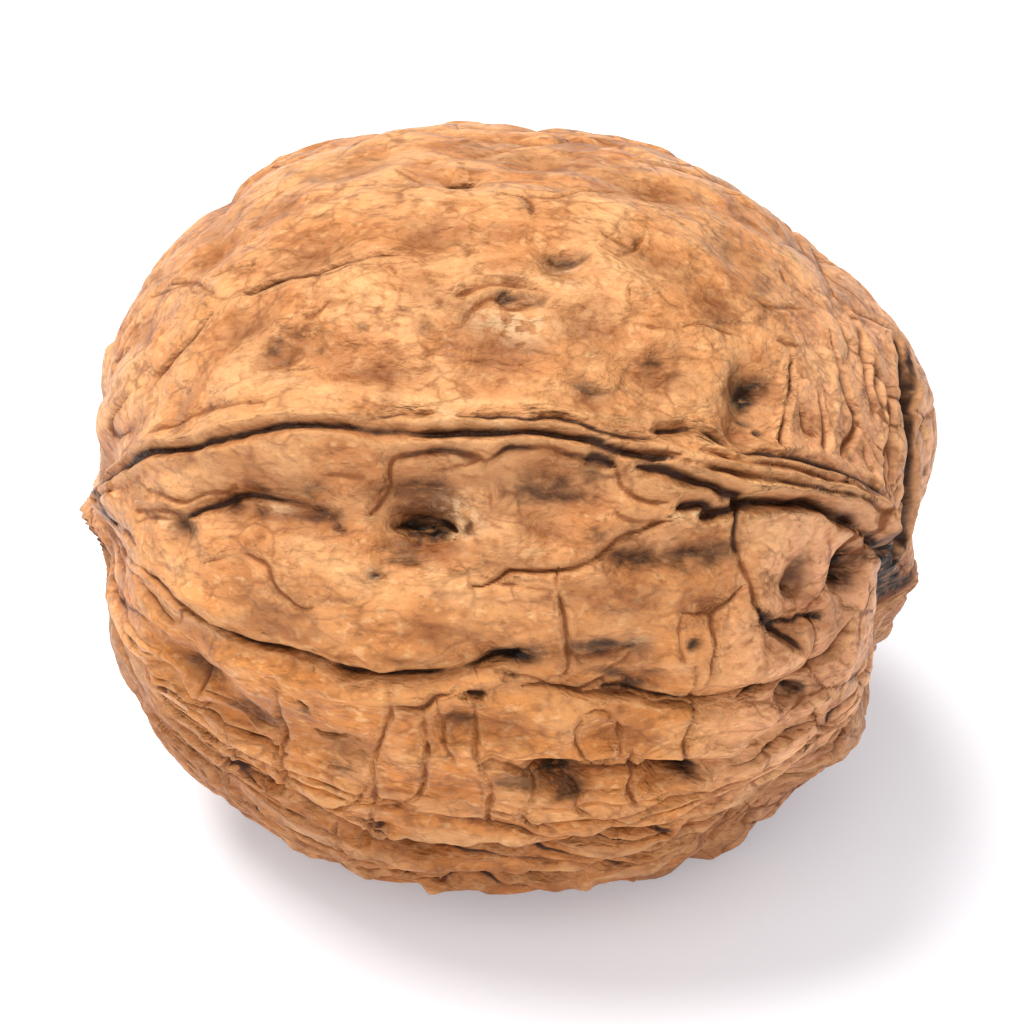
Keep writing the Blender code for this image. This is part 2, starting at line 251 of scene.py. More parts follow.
def lay_strands(points, height, marks):
    """Lays the strands along the keel, and says how much of a strand lies at each point.

    Paints a highlight along each strand.
    """
    fibre = np.zeros(len(points))
    for width, lift, stops in STRANDS:
        close, gap, _ = line_gap(points, stops, 4 * width)
        strand = np.exp(-(gap / width) ** 2)
        height[close] += lift * strand
        # Painted highlight along the top of each strand.
        strengthen(marks["painted_highlight"], close, 0.9 * strand)
        strengthen(fibre, close, strand)
    return fibre


# Furrows and cracks
# Where the husk's bundles pressed on the soft shell, furrows run from end to end, forked and crossed by thin
# veins. Each has its half width, depth, darkness and way.
SHOULDER_HEIGHT = 0.35
LINE_SLOPE = 2.6
HALO_REACH = 0.85

# A line is drawn in colour from the first darkness on, and from the second on it runs dark to its very ends.
SHOWS_FROM = 0.3
FULLY_DARK = 0.85

FURROWS = [
    (0.75, 0.50, 0.20, [(-53, -34), (-46, -38.5), (-37, -38.3), (-30, -38.8), (-22, -39.6), (-14, -41),
                        (-7, -40.4), (0, -39.2), (5, -36.8), (10, -34.8)]),
    (0.80, 0.45, 0.20, [(2, -42.5), (10, -41), (20, -41), (27, -42.5), (34, -45), (43, -45.6), (50, -44.8),
                        (57, -41), (60.5, -36), (61, -28)]),
    (0.75, 0.38, 0.20, [(6, -57), (14, -60.2), (20, -62.5), (26, -62), (33, -63.5), (36, -66), (41, -66),
                        (46, -66.5), (50, -63), (55, -60), (58, -58)]),
    (0.70, 0.45, 0.15, [(-55, -56), (-52, -60), (-47, -64), (-42, -62.5), (-36, -67), (-32, -68)]),
    (0.70, 0.45, 0.15, [(-42, -86), (-30, -85), (-20, -90), (-8, -91), (4, -90), (15, -88.5), (24, -85.5),
                        (34, -84), (43, -82)]),
    (0.70, 0.40, 0.10, [(-16, -98), (-4, -103), (8, -102), (20, -99), (30, -94), (41, -90), (48, -92)]),
    (0.55, 0.20, 0.10, [(27.5, -12.7), (23, -15.2), (20, -18.2), (15.5, -20.7), (8, -21.4), (2, -24.4)]),
    (0.55, 0.15, 0.10, [(37, -12), (38, -17), (42, -25), (45, -30), (48, -34), (52, -38)]),
    (0.50, 0.15, 0.05, [(-49.5, 7.5), (-44, 12), (-38, 17), (-35, 19), (-29, 19), (-21, 20.5), (-14, 22.3),
                        (-11, 22)]),
    (0.50, 0.20, 0.05, [(43, 13), (42, 9), (41.5, 3)]),
    (0.42, 0.60, 1.0, [(80, -2), (79, 4), (76.5, 10.5), (73.5, 16.5), (70.5, 22), (67.8, 26.5), (65.8, 31),
                       (64.5, 36), (63, 43), (61, 49), (58, 54)]),
    (0.34, 0.15, 1.0, [(81, 6), (79.6, 11), (77, 15.5), (74.2, 20), (71.2, 25), (68.5, 29.5), (66.6, 34),
                       (65.2, 39), (63.8, 45.5), (61.8, 51.5), (59, 57)]),
]

VEINS = [
    (0.15, 0.22, 0.75, [(29, -12.2), (27.5, -12.7), (25, -14.2), (23.2, -15.2), (21.5, -16.7), (20, -18.2),
                        (17.5, -19.9), (15.5, -20.7), (12.2, -21.3), (8, -21.4), (6, -22.7), (4, -23.8),
                        (2.3, -24.3)]),
    (0.14, 0.16, 0.70, [(14, -20.5), (14, -23), (14.5, -25), (15.8, -27.5), (16.5, -31), (17.5, -36),
                        (17, -41)]),
    (0.14, 0.14, 0.60, [(14, -22.5), (13.5, -24), (10.5, -24), (8, -23.6), (5.5, -23.5)]),
    (0.12, 0.10, 0.45, [(38, -27), (35.5, -27), (33, -27)]),
    (0.12, 0.10, 0.45, [(-11, -22), (-8.2, -22.3), (-5.5, -21.5)]),
    (0.15, 0.24, 0.90, [(37.5, -9.5), (37.9, -11), (38.6, -13), (39.1, -14.6), (39.9, -16.7)]),
    (0.13, 0.20, 0.70, [(39.9, -16.7), (41, -18.8), (42.2, -20.6), (43.2, -23.3), (44.2, -25.8),
                        (45, -27.4)]),
    (0.19, 0.32, 0.95, [(44.4, -25.6), (46, -28.5), (48, -30.6), (49.8, -32), (51.4, -34.3), (53, -37.6)]),
    (0.13, 0.18, 0.75, [(41.3, -21.6), (39.9, -24.2), (38.3, -26.3), (38, -28.5), (38.4, -32), (39, -36.5),
                        (38.6, -41), (38, -46)]),
    (0.15, 0.24, 0.90, [(45.3, -27.6), (48.4, -29.4), (51.4, -29.9), (52.6, -28.6), (55, -28.7)]),
    (0.17, 0.34, 0.85, [(45.6, -47), (48.9, -45.5), (53, -44.2), (56.5, -42.3), (59.6, -39.1), (61.7, -34.9),
                        (62.5, -30.8)]),
    (0.15, 0.22, 0.75, [(-53, -34), (-49, -38), (-46, -40)]),
    (0.17, 0.24, 0.75, [(-51, -29.5), (-47, -31), (-44.5, -32), (-42.5, -34), (-41, -35.5), (-37.5, -37)]),
    (0.20, 0.35, 0.95, [(-37.5, -37), (-34.5, -38.5), (-31, -38.8), (-28, -38.6), (-25.5, -38.4),
                        (-22.5, -39.4), (-20, -40.3), (-17.5, -41), (-14, -41), (-10.5, -40.8), (-7, -40.3),
                        (-3, -39.6), (0, -39.2), (3, -38), (5.5, -36.6), (8.5, -35.6), (10, -34.6)]),
    (0.14, 0.16, 0.70, [(-46, -39.5), (-44, -37), (-42.5, -35)]),
    (0.15, 0.14, 0.55, [(-51, -19), (-47, -17.8), (-43, -17.5), (-38, -17.2)]),
    (0.14, 0.14, 0.50, [(-48, -13.5), (-44, -14), (-40, -14.8), (-37, -13.5), (-33, -12.5), (-29.5, -12.2),
                        (-25, -12.4), (-20, -12.2)]),
    (0.12, 0.12, 0.60, [(-37.5, -25), (-34.5, -23.8), (-32, -22.5), (-29.5, -23), (-27.5, -24), (-26.5, -27),
                        (-25.5, -29), (-23, -30.5), (-20.5, -29), (-18.5, -27.5), (-17.5, -25)]),
    (0.20, 0.30, 0.95, [(-41.8, -16.9), (-39.4, -16.9), (-37.4, -16), (-35.7, -14.9), (-34.2, -13.9),
                        (-31.4, -13.5), (-28.3, -13.4), (-25.5, -13.8), (-22.8, -14.2), (-20.8, -14.9),
                        (-18.5, -14.6)]),
    (0.17, 0.18, 0.60, [(-52, -16.9), (-50.2, -16.9), (-46, -16.6), (-43.6, -16.3), (-41.8, -16.9)]),
    (0.26, 0.45, 1.0, [(-10.5, -16.4), (-8.6, -15.4), (-6.6, -14.6), (-4.4, -14.6), (-2.4, -15.4),
                       (-0.8, -16.4)]),
    (0.17, 0.20, 0.60, [(-52, -24), (-56, -22.5), (-60, -22)]),
    (0.14, 0.16, 0.55, [(-50.3, 34.1), (-47.2, 32.6), (-42.7, 28.2), (-39.5, 23.3), (-36.7, 19.7)]),
    (0.13, 0.12, 0.40, [(-39, 25.8), (-33.8, 24.7), (-31.9, 24)]),
    (0.12, 0.10, 0.35, [(-22.2, 15.7), (-22.1, 20.4)]),
    (0.13, 0.12, 0.40, [(-23, 11.6), (-20.8, 12), (-19.3, 14.4)]),
    (0.19, 0.22, 0.60, [(-3.5, 15.5), (-2, 16.5), (0.4, 17.7), (3, 18), (6.7, 17.5)]),
    (0.13, 0.12, 0.45, [(13.6, 28.5), (16.8, 28.1), (18.4, 27.9), (19.5, 30.6)]),
    (0.12, 0.12, 0.45, [(18.3, 20.7), (19, 17.7), (21.1, 16.5), (23.6, 17)]),
    (0.12, 0.10, 0.40, [(22.6, 20.6), (23.6, 19.3), (26.2, 19.3)]),
    (0.12, 0.10, 0.40, [(34.9, 27.7), (38.2, 27.8), (42.8, 33.7)]),
    (0.14, 0.14, 0.50, [(38.5, 39.1), (39.7, 37.2)]),
    (0.15, 0.20, 0.85, [(-58, -72), (-55, -68), (-51.5, -66.5), (-47.5, -66.5), (-43, -67), (-39, -68.5),
                        (-35.5, -69), (-32.5, -71)]),
    (0.15, 0.24, 0.80, [(-60, -101), (-54, -104), (-49, -101), (-45, -105), (-41, -107), (-36, -101),
                        (-29, -102)]),
    (0.14, 0.18, 0.65, [(-28.5, -46), (-29.5, -50), (-31, -55), (-31, -60.5), (-32.5, -70), (-32.5, -77),
                        (-32.5, -85), (-29.5, -87.5), (-24.5, -88.5), (-20, -91.5), (-17, -94.5),
                        (-15, -99.5)]),
    (0.14, 0.12, 0.80, [(-25.5, -48.5), (-24.5, -50.5)]),
    (0.13, 0.14, 0.75, [(-25.5, -57.5), (-22.5, -59), (-20, -57), (-18.5, -55.5), (-16.5, -57.5)]),
    (0.12, 0.12, 0.60, [(-24, -67.5), (-20.5, -65.5), (-18, -65.5)]),
    (0.12, 0.14, 0.55, [(-32, -78), (-30, -80.5), (-26.5, -81), (-22, -80.5), (-18.5, -75.5), (-16, -68),
                        (-15, -62), (-13, -56), (-11.5, -50.5), (-10, -45.5), (-10.5, -42)]),
    (0.12, 0.14, 0.65, [(-15, -62), (-15.5, -71.5), (-16.5, -80.5), (-17.5, -91)]),
    (0.14, 0.16, 0.75, [(-10, -45.5), (-8, -46), (-5, -45.5), (-3, -43.5), (-0.5, -42.5), (1, -41)]),
    (0.12, 0.14, 0.65, [(-5, -46), (-5.5, -50), (-5, -55.5), (-5, -61), (-6, -67), (-9, -73), (-16, -76)]),
    (0.11, 0.10, 0.45, [(-3, -44), (-2.5, -51.5), (-1, -56.5), (0, -60)]),
    (0.15, 0.14, 0.70, [(3.5, -58.5), (6, -58), (9, -59.5), (11.5, -62), (13.5, -61.5), (17, -62.5),
                        (20, -63.5)]),
    (0.11, 0.10, 0.45, [(3.5, -42), (3, -50), (3.5, -58.5)]),
    (0.12, 0.14, 0.60, [(3.5, -58.5), (5, -62), (6, -67), (5, -74), (5.5, -80)]),
    (0.13, 0.16, 0.70, [(5.5, -73), (10, -74.5), (13.5, -78), (17, -79)]),
    (0.19, 0.28, 0.90, [(-17.5, -86), (-14.5, -86), (-11, -90), (-5.5, -88), (0, -87), (4, -91), (9, -91),
                        (13, -87), (17, -87.5), (23, -86.5), (28.5, -85.5), (34, -85.5), (38, -83)]),
    (0.17, 0.26, 0.75, [(-20, -106), (-15, -107), (-9, -103.5), (-2, -105), (4, -104.5), (10, -103.5),
                        (18, -101.5), (24.5, -99.5), (30.5, -100.5), (36, -106)]),
    (0.14, 0.20, 0.75, [(15.5, -41), (20, -42.5), (23.5, -43), (28.5, -44), (33, -46), (36.5, -46.5),
                        (38.5, -47.5)]),
    (0.13, 0.14, 0.60, [(6.5, -38.5), (9.5, -39), (11.5, -39.5), (15.5, -41)]),
    (0.13, 0.16, 0.60, [(36.5, -36.5), (37.5, -42), (38.5, -47.5), (38, -52), (37.5, -57), (38.5, -64)]),
    (0.12, 0.12, 0.40, [(33, -27), (33, -31), (35, -36)]),
    (0.11, 0.12, 0.50, [(20.5, -46.5), (23, -46), (26, -48), (27.5, -53.5), (27.5, -59), (25, -63.5)]),
    (0.11, 0.12, 0.50, [(20.5, -46.5), (19.8, -51), (21.5, -58), (24, -62.5)]),
    (0.15, 0.22, 0.75, [(21, -64), (25, -63.5), (29, -63.5), (33, -65), (36, -66)]),
    (0.21, 0.32, 1.00, [(35, -65.5), (37.5, -67), (40, -67.5), (42.5, -69)]),
    (0.15, 0.24, 0.85, [(42.5, -69), (45, -69), (47.5, -69), (50.5, -66.5), (53, -64), (56, -62.5),
                        (59, -60.5)]),
    (0.13, 0.16, 0.60, [(29.5, -56), (30, -60), (30, -65), (29, -67.5), (30.5, -72)]),
    (0.12, 0.14, 0.55, [(19.5, -64.5), (21, -67.5), (20.5, -72), (23, -76)]),
    (0.12, 0.14, 0.55, [(12.5, -62.5), (13.5, -66), (11, -73.5), (13.5, -79)]),
    (0.14, 0.20, 0.70, [(24, -78), (27, -76.5), (31.5, -74.5), (35, -73), (42, -75), (47, -74.5), (52, -71)]),
    (0.15, 0.24, 0.75, [(22, -92), (27.5, -96), (31, -97), (36, -95.5), (40.5, -99), (45, -106), (49, -109)]),
    (0.17, 0.26, 0.80, [(38, -90), (43, -88), (48, -89), (53, -84), (58, -80), (62, -76)]),
    (0.15, 0.24, 0.75, [(44, -97), (50, -98), (55, -94), (60, -90), (64, -84)]),
    (0.17, 0.26, 0.80, [(48, -118), (54, -114), (60, -108), (64, -100), (67, -92)]),
    (0.14, 0.18, 0.65, [(57, -56), (60, -66), (62, -74), (65, -80)]),
    (0.14, 0.16, 0.60, [(-46, -48), (-45, -54), (-46, -60), (-47.5, -66)]),
    (0.14, 0.16, 0.60, [(-43, -67), (-42.5, -75), (-44, -84), (-45, -93), (-44, -104)]),
    (0.17, 0.26, 0.80, [(-58, -84), (-52, -88), (-47, -86), (-41, -89), (-36, -87), (-32.5, -85)]),
    (0.14, 0.18, 0.60, [(-24, -88.5), (-22, -98), (-20, -106)]),
    (0.13, 0.14, 0.50, [(-31, -60), (-36, -60), (-40, -57), (-45, -56)]),
    (0.22, 0.24, 0.90, [(2, -42.5), (5, -42.8)]),
    (0.17, 0.18, 0.90, [(8, -39.7), (10, -39.5)]),
    (0.15, 0.16, 0.80, [(11, -41.5), (15, -41), (20, -42), (24, -40.5), (25, -42)]),
    (0.20, 0.30, 0.95, [(24, -42), (27, -42.5), (30, -43.5), (33.5, -44.8), (36, -45.3)]),
    (0.17, 0.22, 0.80, [(36, -45.3), (40, -46), (43, -45.7), (45, -45.5), (47, -45), (50, -44.7)]),
    (0.17, 0.14, 0.50, [(17, -34), (20, -35), (24, -34.5), (27, -33)]),
    (0.15, 0.14, 0.45, [(24, -38), (26, -36), (27, -34)]),
    (0.15, 0.20, 0.75, [(-49.5, 7.5), (-47, 10), (-44, 12), (-41.5, 13), (-39, 15.5), (-38, 17)]),
    (0.15, 0.22, 0.85, [(-36, 19), (-33, 18.5), (-31, 18.5), (-29, 19), (-26, 20), (-23, 20), (-21, 20.5),
                        (-19, 21.5), (-17, 21.8), (-14, 22.3), (-11.5, 22)]),
    (0.13, 0.10, 0.38, [(-17.5, 20), (-14, 19.5), (-12, 19), (-11.5, 18)]),
    (0.14, 0.12, 0.42, [(-53, 36), (-50, 33), (-46, 30), (-43, 27), (-41, 23.5), (-37, 19.5)]),
    (0.14, 0.14, 0.50, [(-0.5, 35), (2, 35), (3.5, 34), (4.3, 32), (4.5, 30.5)]),
    (0.14, 0.12, 0.48, [(5, 35), (8, 36), (10, 38), (13, 39), (15, 41)]),
    (0.12, 0.08, 0.32, [(13, 26.5), (15, 25.5), (16.5, 25.5), (18.5, 28), (19.5, 32)]),
    (0.14, 0.12, 0.48, [(21, 15), (23, 15.2), (25, 15.5), (27, 17), (29.5, 18), (34.5, 19)]),
    (0.13, 0.10, 0.42, [(-15, 42), (-12, 39), (-9.5, 36.5), (-7, 35.5)]),
    (0.19, 0.40, 1.0, [(-7.5, 39.3), (-6, 39.6), (-4.8, 40)]),
    (0.14, 0.26, 0.85, [(42.4, 21), (42.6, 18), (42.9, 15.5), (43.5, 11.4), (43.1, 5.6), (42.9, 3.4)]),
    (0.15, 0.12, 0.42, [(39, 22), (41.5, 23), (43, 23.5)]),
    (0.19, 0.14, 0.50, [(-2.5, 11), (-1.5, 13.5), (1, 16), (3, 15.2), (4, 14.8), (6.5, 15.8)]),
    (0.17, 0.30, 0.75, [(47.5, 33), (49.5, 27.3), (51.1, 23.4), (52.7, 20.6), (54.4, 18.4), (54.8, 15.8),
                        (54.6, 13.6), (53.7, 10.1), (53, 6)]),
    (0.15, 0.28, 0.65, [(54.4, 18.4), (56.5, 16.2), (58.7, 14.7), (60.8, 13.2), (62.8, 12.1), (64, 8)]),
    (0.17, 0.30, 0.60, [(53.5, 44), (56, 38), (57.3, 29.2), (61, 25.4), (63.9, 19.4), (65.2, 13.2), (66, 8)]),
    (0.15, 0.24, 0.50, [(47, 50), (51, 44), (53.5, 36), (55.5, 27), (58, 22)]),
    (0.15, 0.24, 0.55, [(66, 36), (68.4, 28), (70, 19), (71, 11), (71.5, 5)]),
    (0.14, 0.20, 0.50, [(45.5, 12.2), (47, 8.8), (48.8, 8.2)]),
    (0.14, 0.24, 0.60, [(47.5, 18), (49, 14), (50, 10), (50, 6)]),
    (0.14, 0.22, 0.50, [(57, 14), (58, 10), (59.5, 6.5)]),
]


def scatter(cells, salt):
    """A repeatable draw from 0 to 1 for each whole-number cell of space."""
    mixed = cells[..., 0] * 374761393 + cells[..., 1] * 668265263 + cells[..., 2] * 1274126177 + salt * 974711
    mixed = np.bitwise_and(mixed, 0xFFFFFFFF)
    mixed = np.bitwise_and(np.bitwise_xor(mixed, mixed >> 13) * 1103515245, 0xFFFFFFFF)
    return np.bitwise_xor(mixed, mixed >> 16) / 0xFFFFFFFF


def waves(places, salt):
    """Smooth rolling values between -1 and 1, one swell to each unit of space."""
    corner = np.floor(places).astype(np.int64)
    part = places - corner
    ease = part * part * (3 - 2 * part)
    total = np.zeros(len(places))
    for step in np.ndindex(2, 2, 2):
        weight = np.where(np.array(step) == 1, ease, 1 - ease)
        total += weight[:, 0] * weight[:, 1] * weight[:, 2] * scatter(corner + np.array(step), salt)
    return 2 * total - 1


def three_waves(places, salt):
    """Waves for each of the three axes, to push points about."""
    return np.stack([waves(places, salt + k) for k in range(3)], axis=1)


def smooth_step(value, low, high):
    """0 up to low, 1 from high on, and a soft rise between them."""
    share = np.clip((value - low) / (high - low), 0, 1)
    return share * share * (3 - 2 * share)


def lines_behind():
    """The seam's line at the back, and the fainter ones that run beside it."""
    lines = [(0.2, 0.34, 0.9, BACK_SEAM)]
    for shift in (-3.2, 3.4, 6.4):
        drift = [(a, r + shift + 1.2 * math.sin(0.11 * a + shift)) for a, r in BACK_SEAM[1:-1]]
        lines.append((0.17, 0.2, 0.6, drift))
    return lines


def hidden_furrows(rng):
    """Furrows on the back and under the nut, wandering from end to end as the ones in front do."""
    lines = []
    for around in (80, 96, 112, 127, 143, 158, 203, 219, 234, 243):
        start = rng.uniform(-62, -20)
        end = start + rng.uniform(45, 85)
        along = np.linspace(start, min(end, 66), 7)
        wander = np.cumsum(rng.uniform(-3.6, 3.6, 7))
        lines.append((rng.uniform(0.7, 1.0), rng.uniform(0.45, 0.8), 0.15, list(zip(along, around + wander))))
    return lines


def press_lines(points, bent, turn, rng, height, marks):
    """Presses the lines into the shell, with a low shoulder on each side, and darkens them.

    Paints highlight on the shoulders and shade along the lines and in their grooves.
    """
    thick = 1 + 0.45 * waves(points / 1.2, 58)
    strong = 0.9 + 0.2 * waves(points / 0.9, 59)
    deeper = 1 + 0.5 * smooth_step(-turn, 30, 60)
    vein = marks["vein"]
    darkness = marks["darkness"]
    for width, depth, dark, stops in SEAM_LINES + lines_behind() + FURROWS + hidden_furrows(rng) + VEINS:
        close, gap, part = line_gap(bent, stops, 5 * width)
        taper = 0.5 + 0.5 * smooth_step(np.minimum(part, 1 - part), 0, 0.14)
        gap = gap / (thick[close] * taper)
        depth = depth * taper
        line = np.exp(-(gap / width) ** 2)
        shoulder = np.exp(-((gap - 2.1 * width) / (0.9 * width)) ** 2)
        height[close] += depth * deeper[close] * (SHOULDER_HEIGHT * shoulder - line)
        if dark > SHOWS_FROM:
            slope = np.clip(1 - gap / (LINE_SLOPE * width), 0, 1)
            shade = dark * (np.ones(len(close)) if dark > FULLY_DARK else strong[close] * taper ** 0.4)
            wins = slope * dark > vein[close] * darkness[close]
            vein[close[wins]] = slope[wins]
            darkness[close[wins]] = shade[wins]
        # Painted highlight on the shoulders, and painted shade beside each dark line and in the groove by its
        # depth.
        strengthen(marks["painted_highlight"], close, 0.7 * dark * shoulder)
        strengthen(marks["painted_shade"], close, 0.5 * dark * np.exp(-(gap / (2.6 * width)) ** 2))
        strengthen(marks["painted_shade"], close, 0.9 * depth * line)
        strengthen(marks["halo"], close, dark * np.exp(-(gap / HALO_REACH) ** 2))


# Dents and pits
# Soft hollows where the shell was pressed, some with a small hole or a dark sooty bottom where the husk
# rotted. A dent has its place, half length, half width and depth, and a pit also says how sooty it is.
DENT_DEEPER = 1.7

DENTS = [
    (-5.5, -15.5, 1.8, 0.8, 0.45), (-5, -14, 3.6, 2.2, 0.4), (-6, -12, 3.4, 1.6, 0.1),
    (-4, -19, 3.0, 1.0, 0.15), (12, -9, 4.0, 1.9, 0.1), (-33, -15.3, 2.4, 1.0, 0.5),
    (-22, -15.6, 2.4, 1.0, 0.5), (-27, -14.5, 5.0, 1.9, 0.3), (-42, -20, 0.9, 0.9, 0.4),
    (12, -10, 3.0, 1.3, 0.35), (25, -18.4, 2.6, 1.1, 0.5), (34, -17, 3.2, 1.4, 0.45),
    (50, -21, 1.2, 1.3, 0.6), (59.5, -17.2, 1.2, 1.4, 1.0), (50, -31, 1.4, 0.9, 0.5),
    (37.3, 9.5, 1.5, 1.8, 0.7), (36.5, 2.8, 1.0, 0.7, 0.4), (24, 8.5, 2.4, 1.4, 0.4),
    (15, 2.7, 1.5, 0.8, 0.3), (9, 22.3, 1.3, 0.9, 0.55), (4.5, 15.5, 1.6, 0.8, 0.4), (3, 9, 2.6, 2.0, 0.25),
    (-25, 7, 1.7, 1.3, 0.4), (-6, 39.5, 1.0, 0.7, 0.5), (22, -34, 3.2, 1.2, 0.4), (29, -40, 2.0, 0.9, 0.35),
    (8, -36, 2.0, 0.9, 0.4), (53.5, -49.5, 1.0, 0.8, 0.8), (36, -66, 1.0, 0.9, 0.8), (17, -62, 2.0, 0.9, 0.4),
    (-21, -59, 2.2, 1.2, 0.4), (-45, -50, 1.8, 1.3, 0.3), (71, -4, 1.6, 1.6, 1.0), (79, -16, 2.4, 2.2, 0.6),
    (37, -26, 1.0, 1.0, 0.3), (-9, -14, 1.5, 1.8, 0.35), (-44.5, -49, 2.6, 1.2, 0.35),
    (-36.5, -57, 2.6, 1.3, 0.35), (0, -50, 1.3, 0.9, 0.3), (-38, -7.5, 3.0, 0.8, 0.25),
    (-28, -32, 3.0, 1.4, 0.25), (-1, -33, 2.5, 0.8, 0.2), (12, -15, 2.0, 1.0, 0.3), (24, -25, 3.2, 1.3, 0.3),
    (27, -51, 1.5, 1.2, 0.2), (8, -50, 1.6, 0.9, 0.2), (-24, 24, 3.0, 1.2, 0.3), (-8, 26, 2.0, 1.5, 0.35),
    (-32, 12, 3.0, 1.2, 0.3), (-13, 4, 2.5, 0.9, 0.25), (22, 26, 2.4, 1.2, 0.3), (30, 22, 2.0, 1.2, 0.3),
    (14, 13, 2.0, 1.1, 0.3), (4, 48, 2.4, 1.2, 0.3), (20, 44, 2.4, 1.2, 0.3), (-22, 46, 2.4, 1.2, 0.3),
    (32, 36, 1.8, 1.2, 0.3), (-40, 34, 2.2, 1.2, 0.3),
]

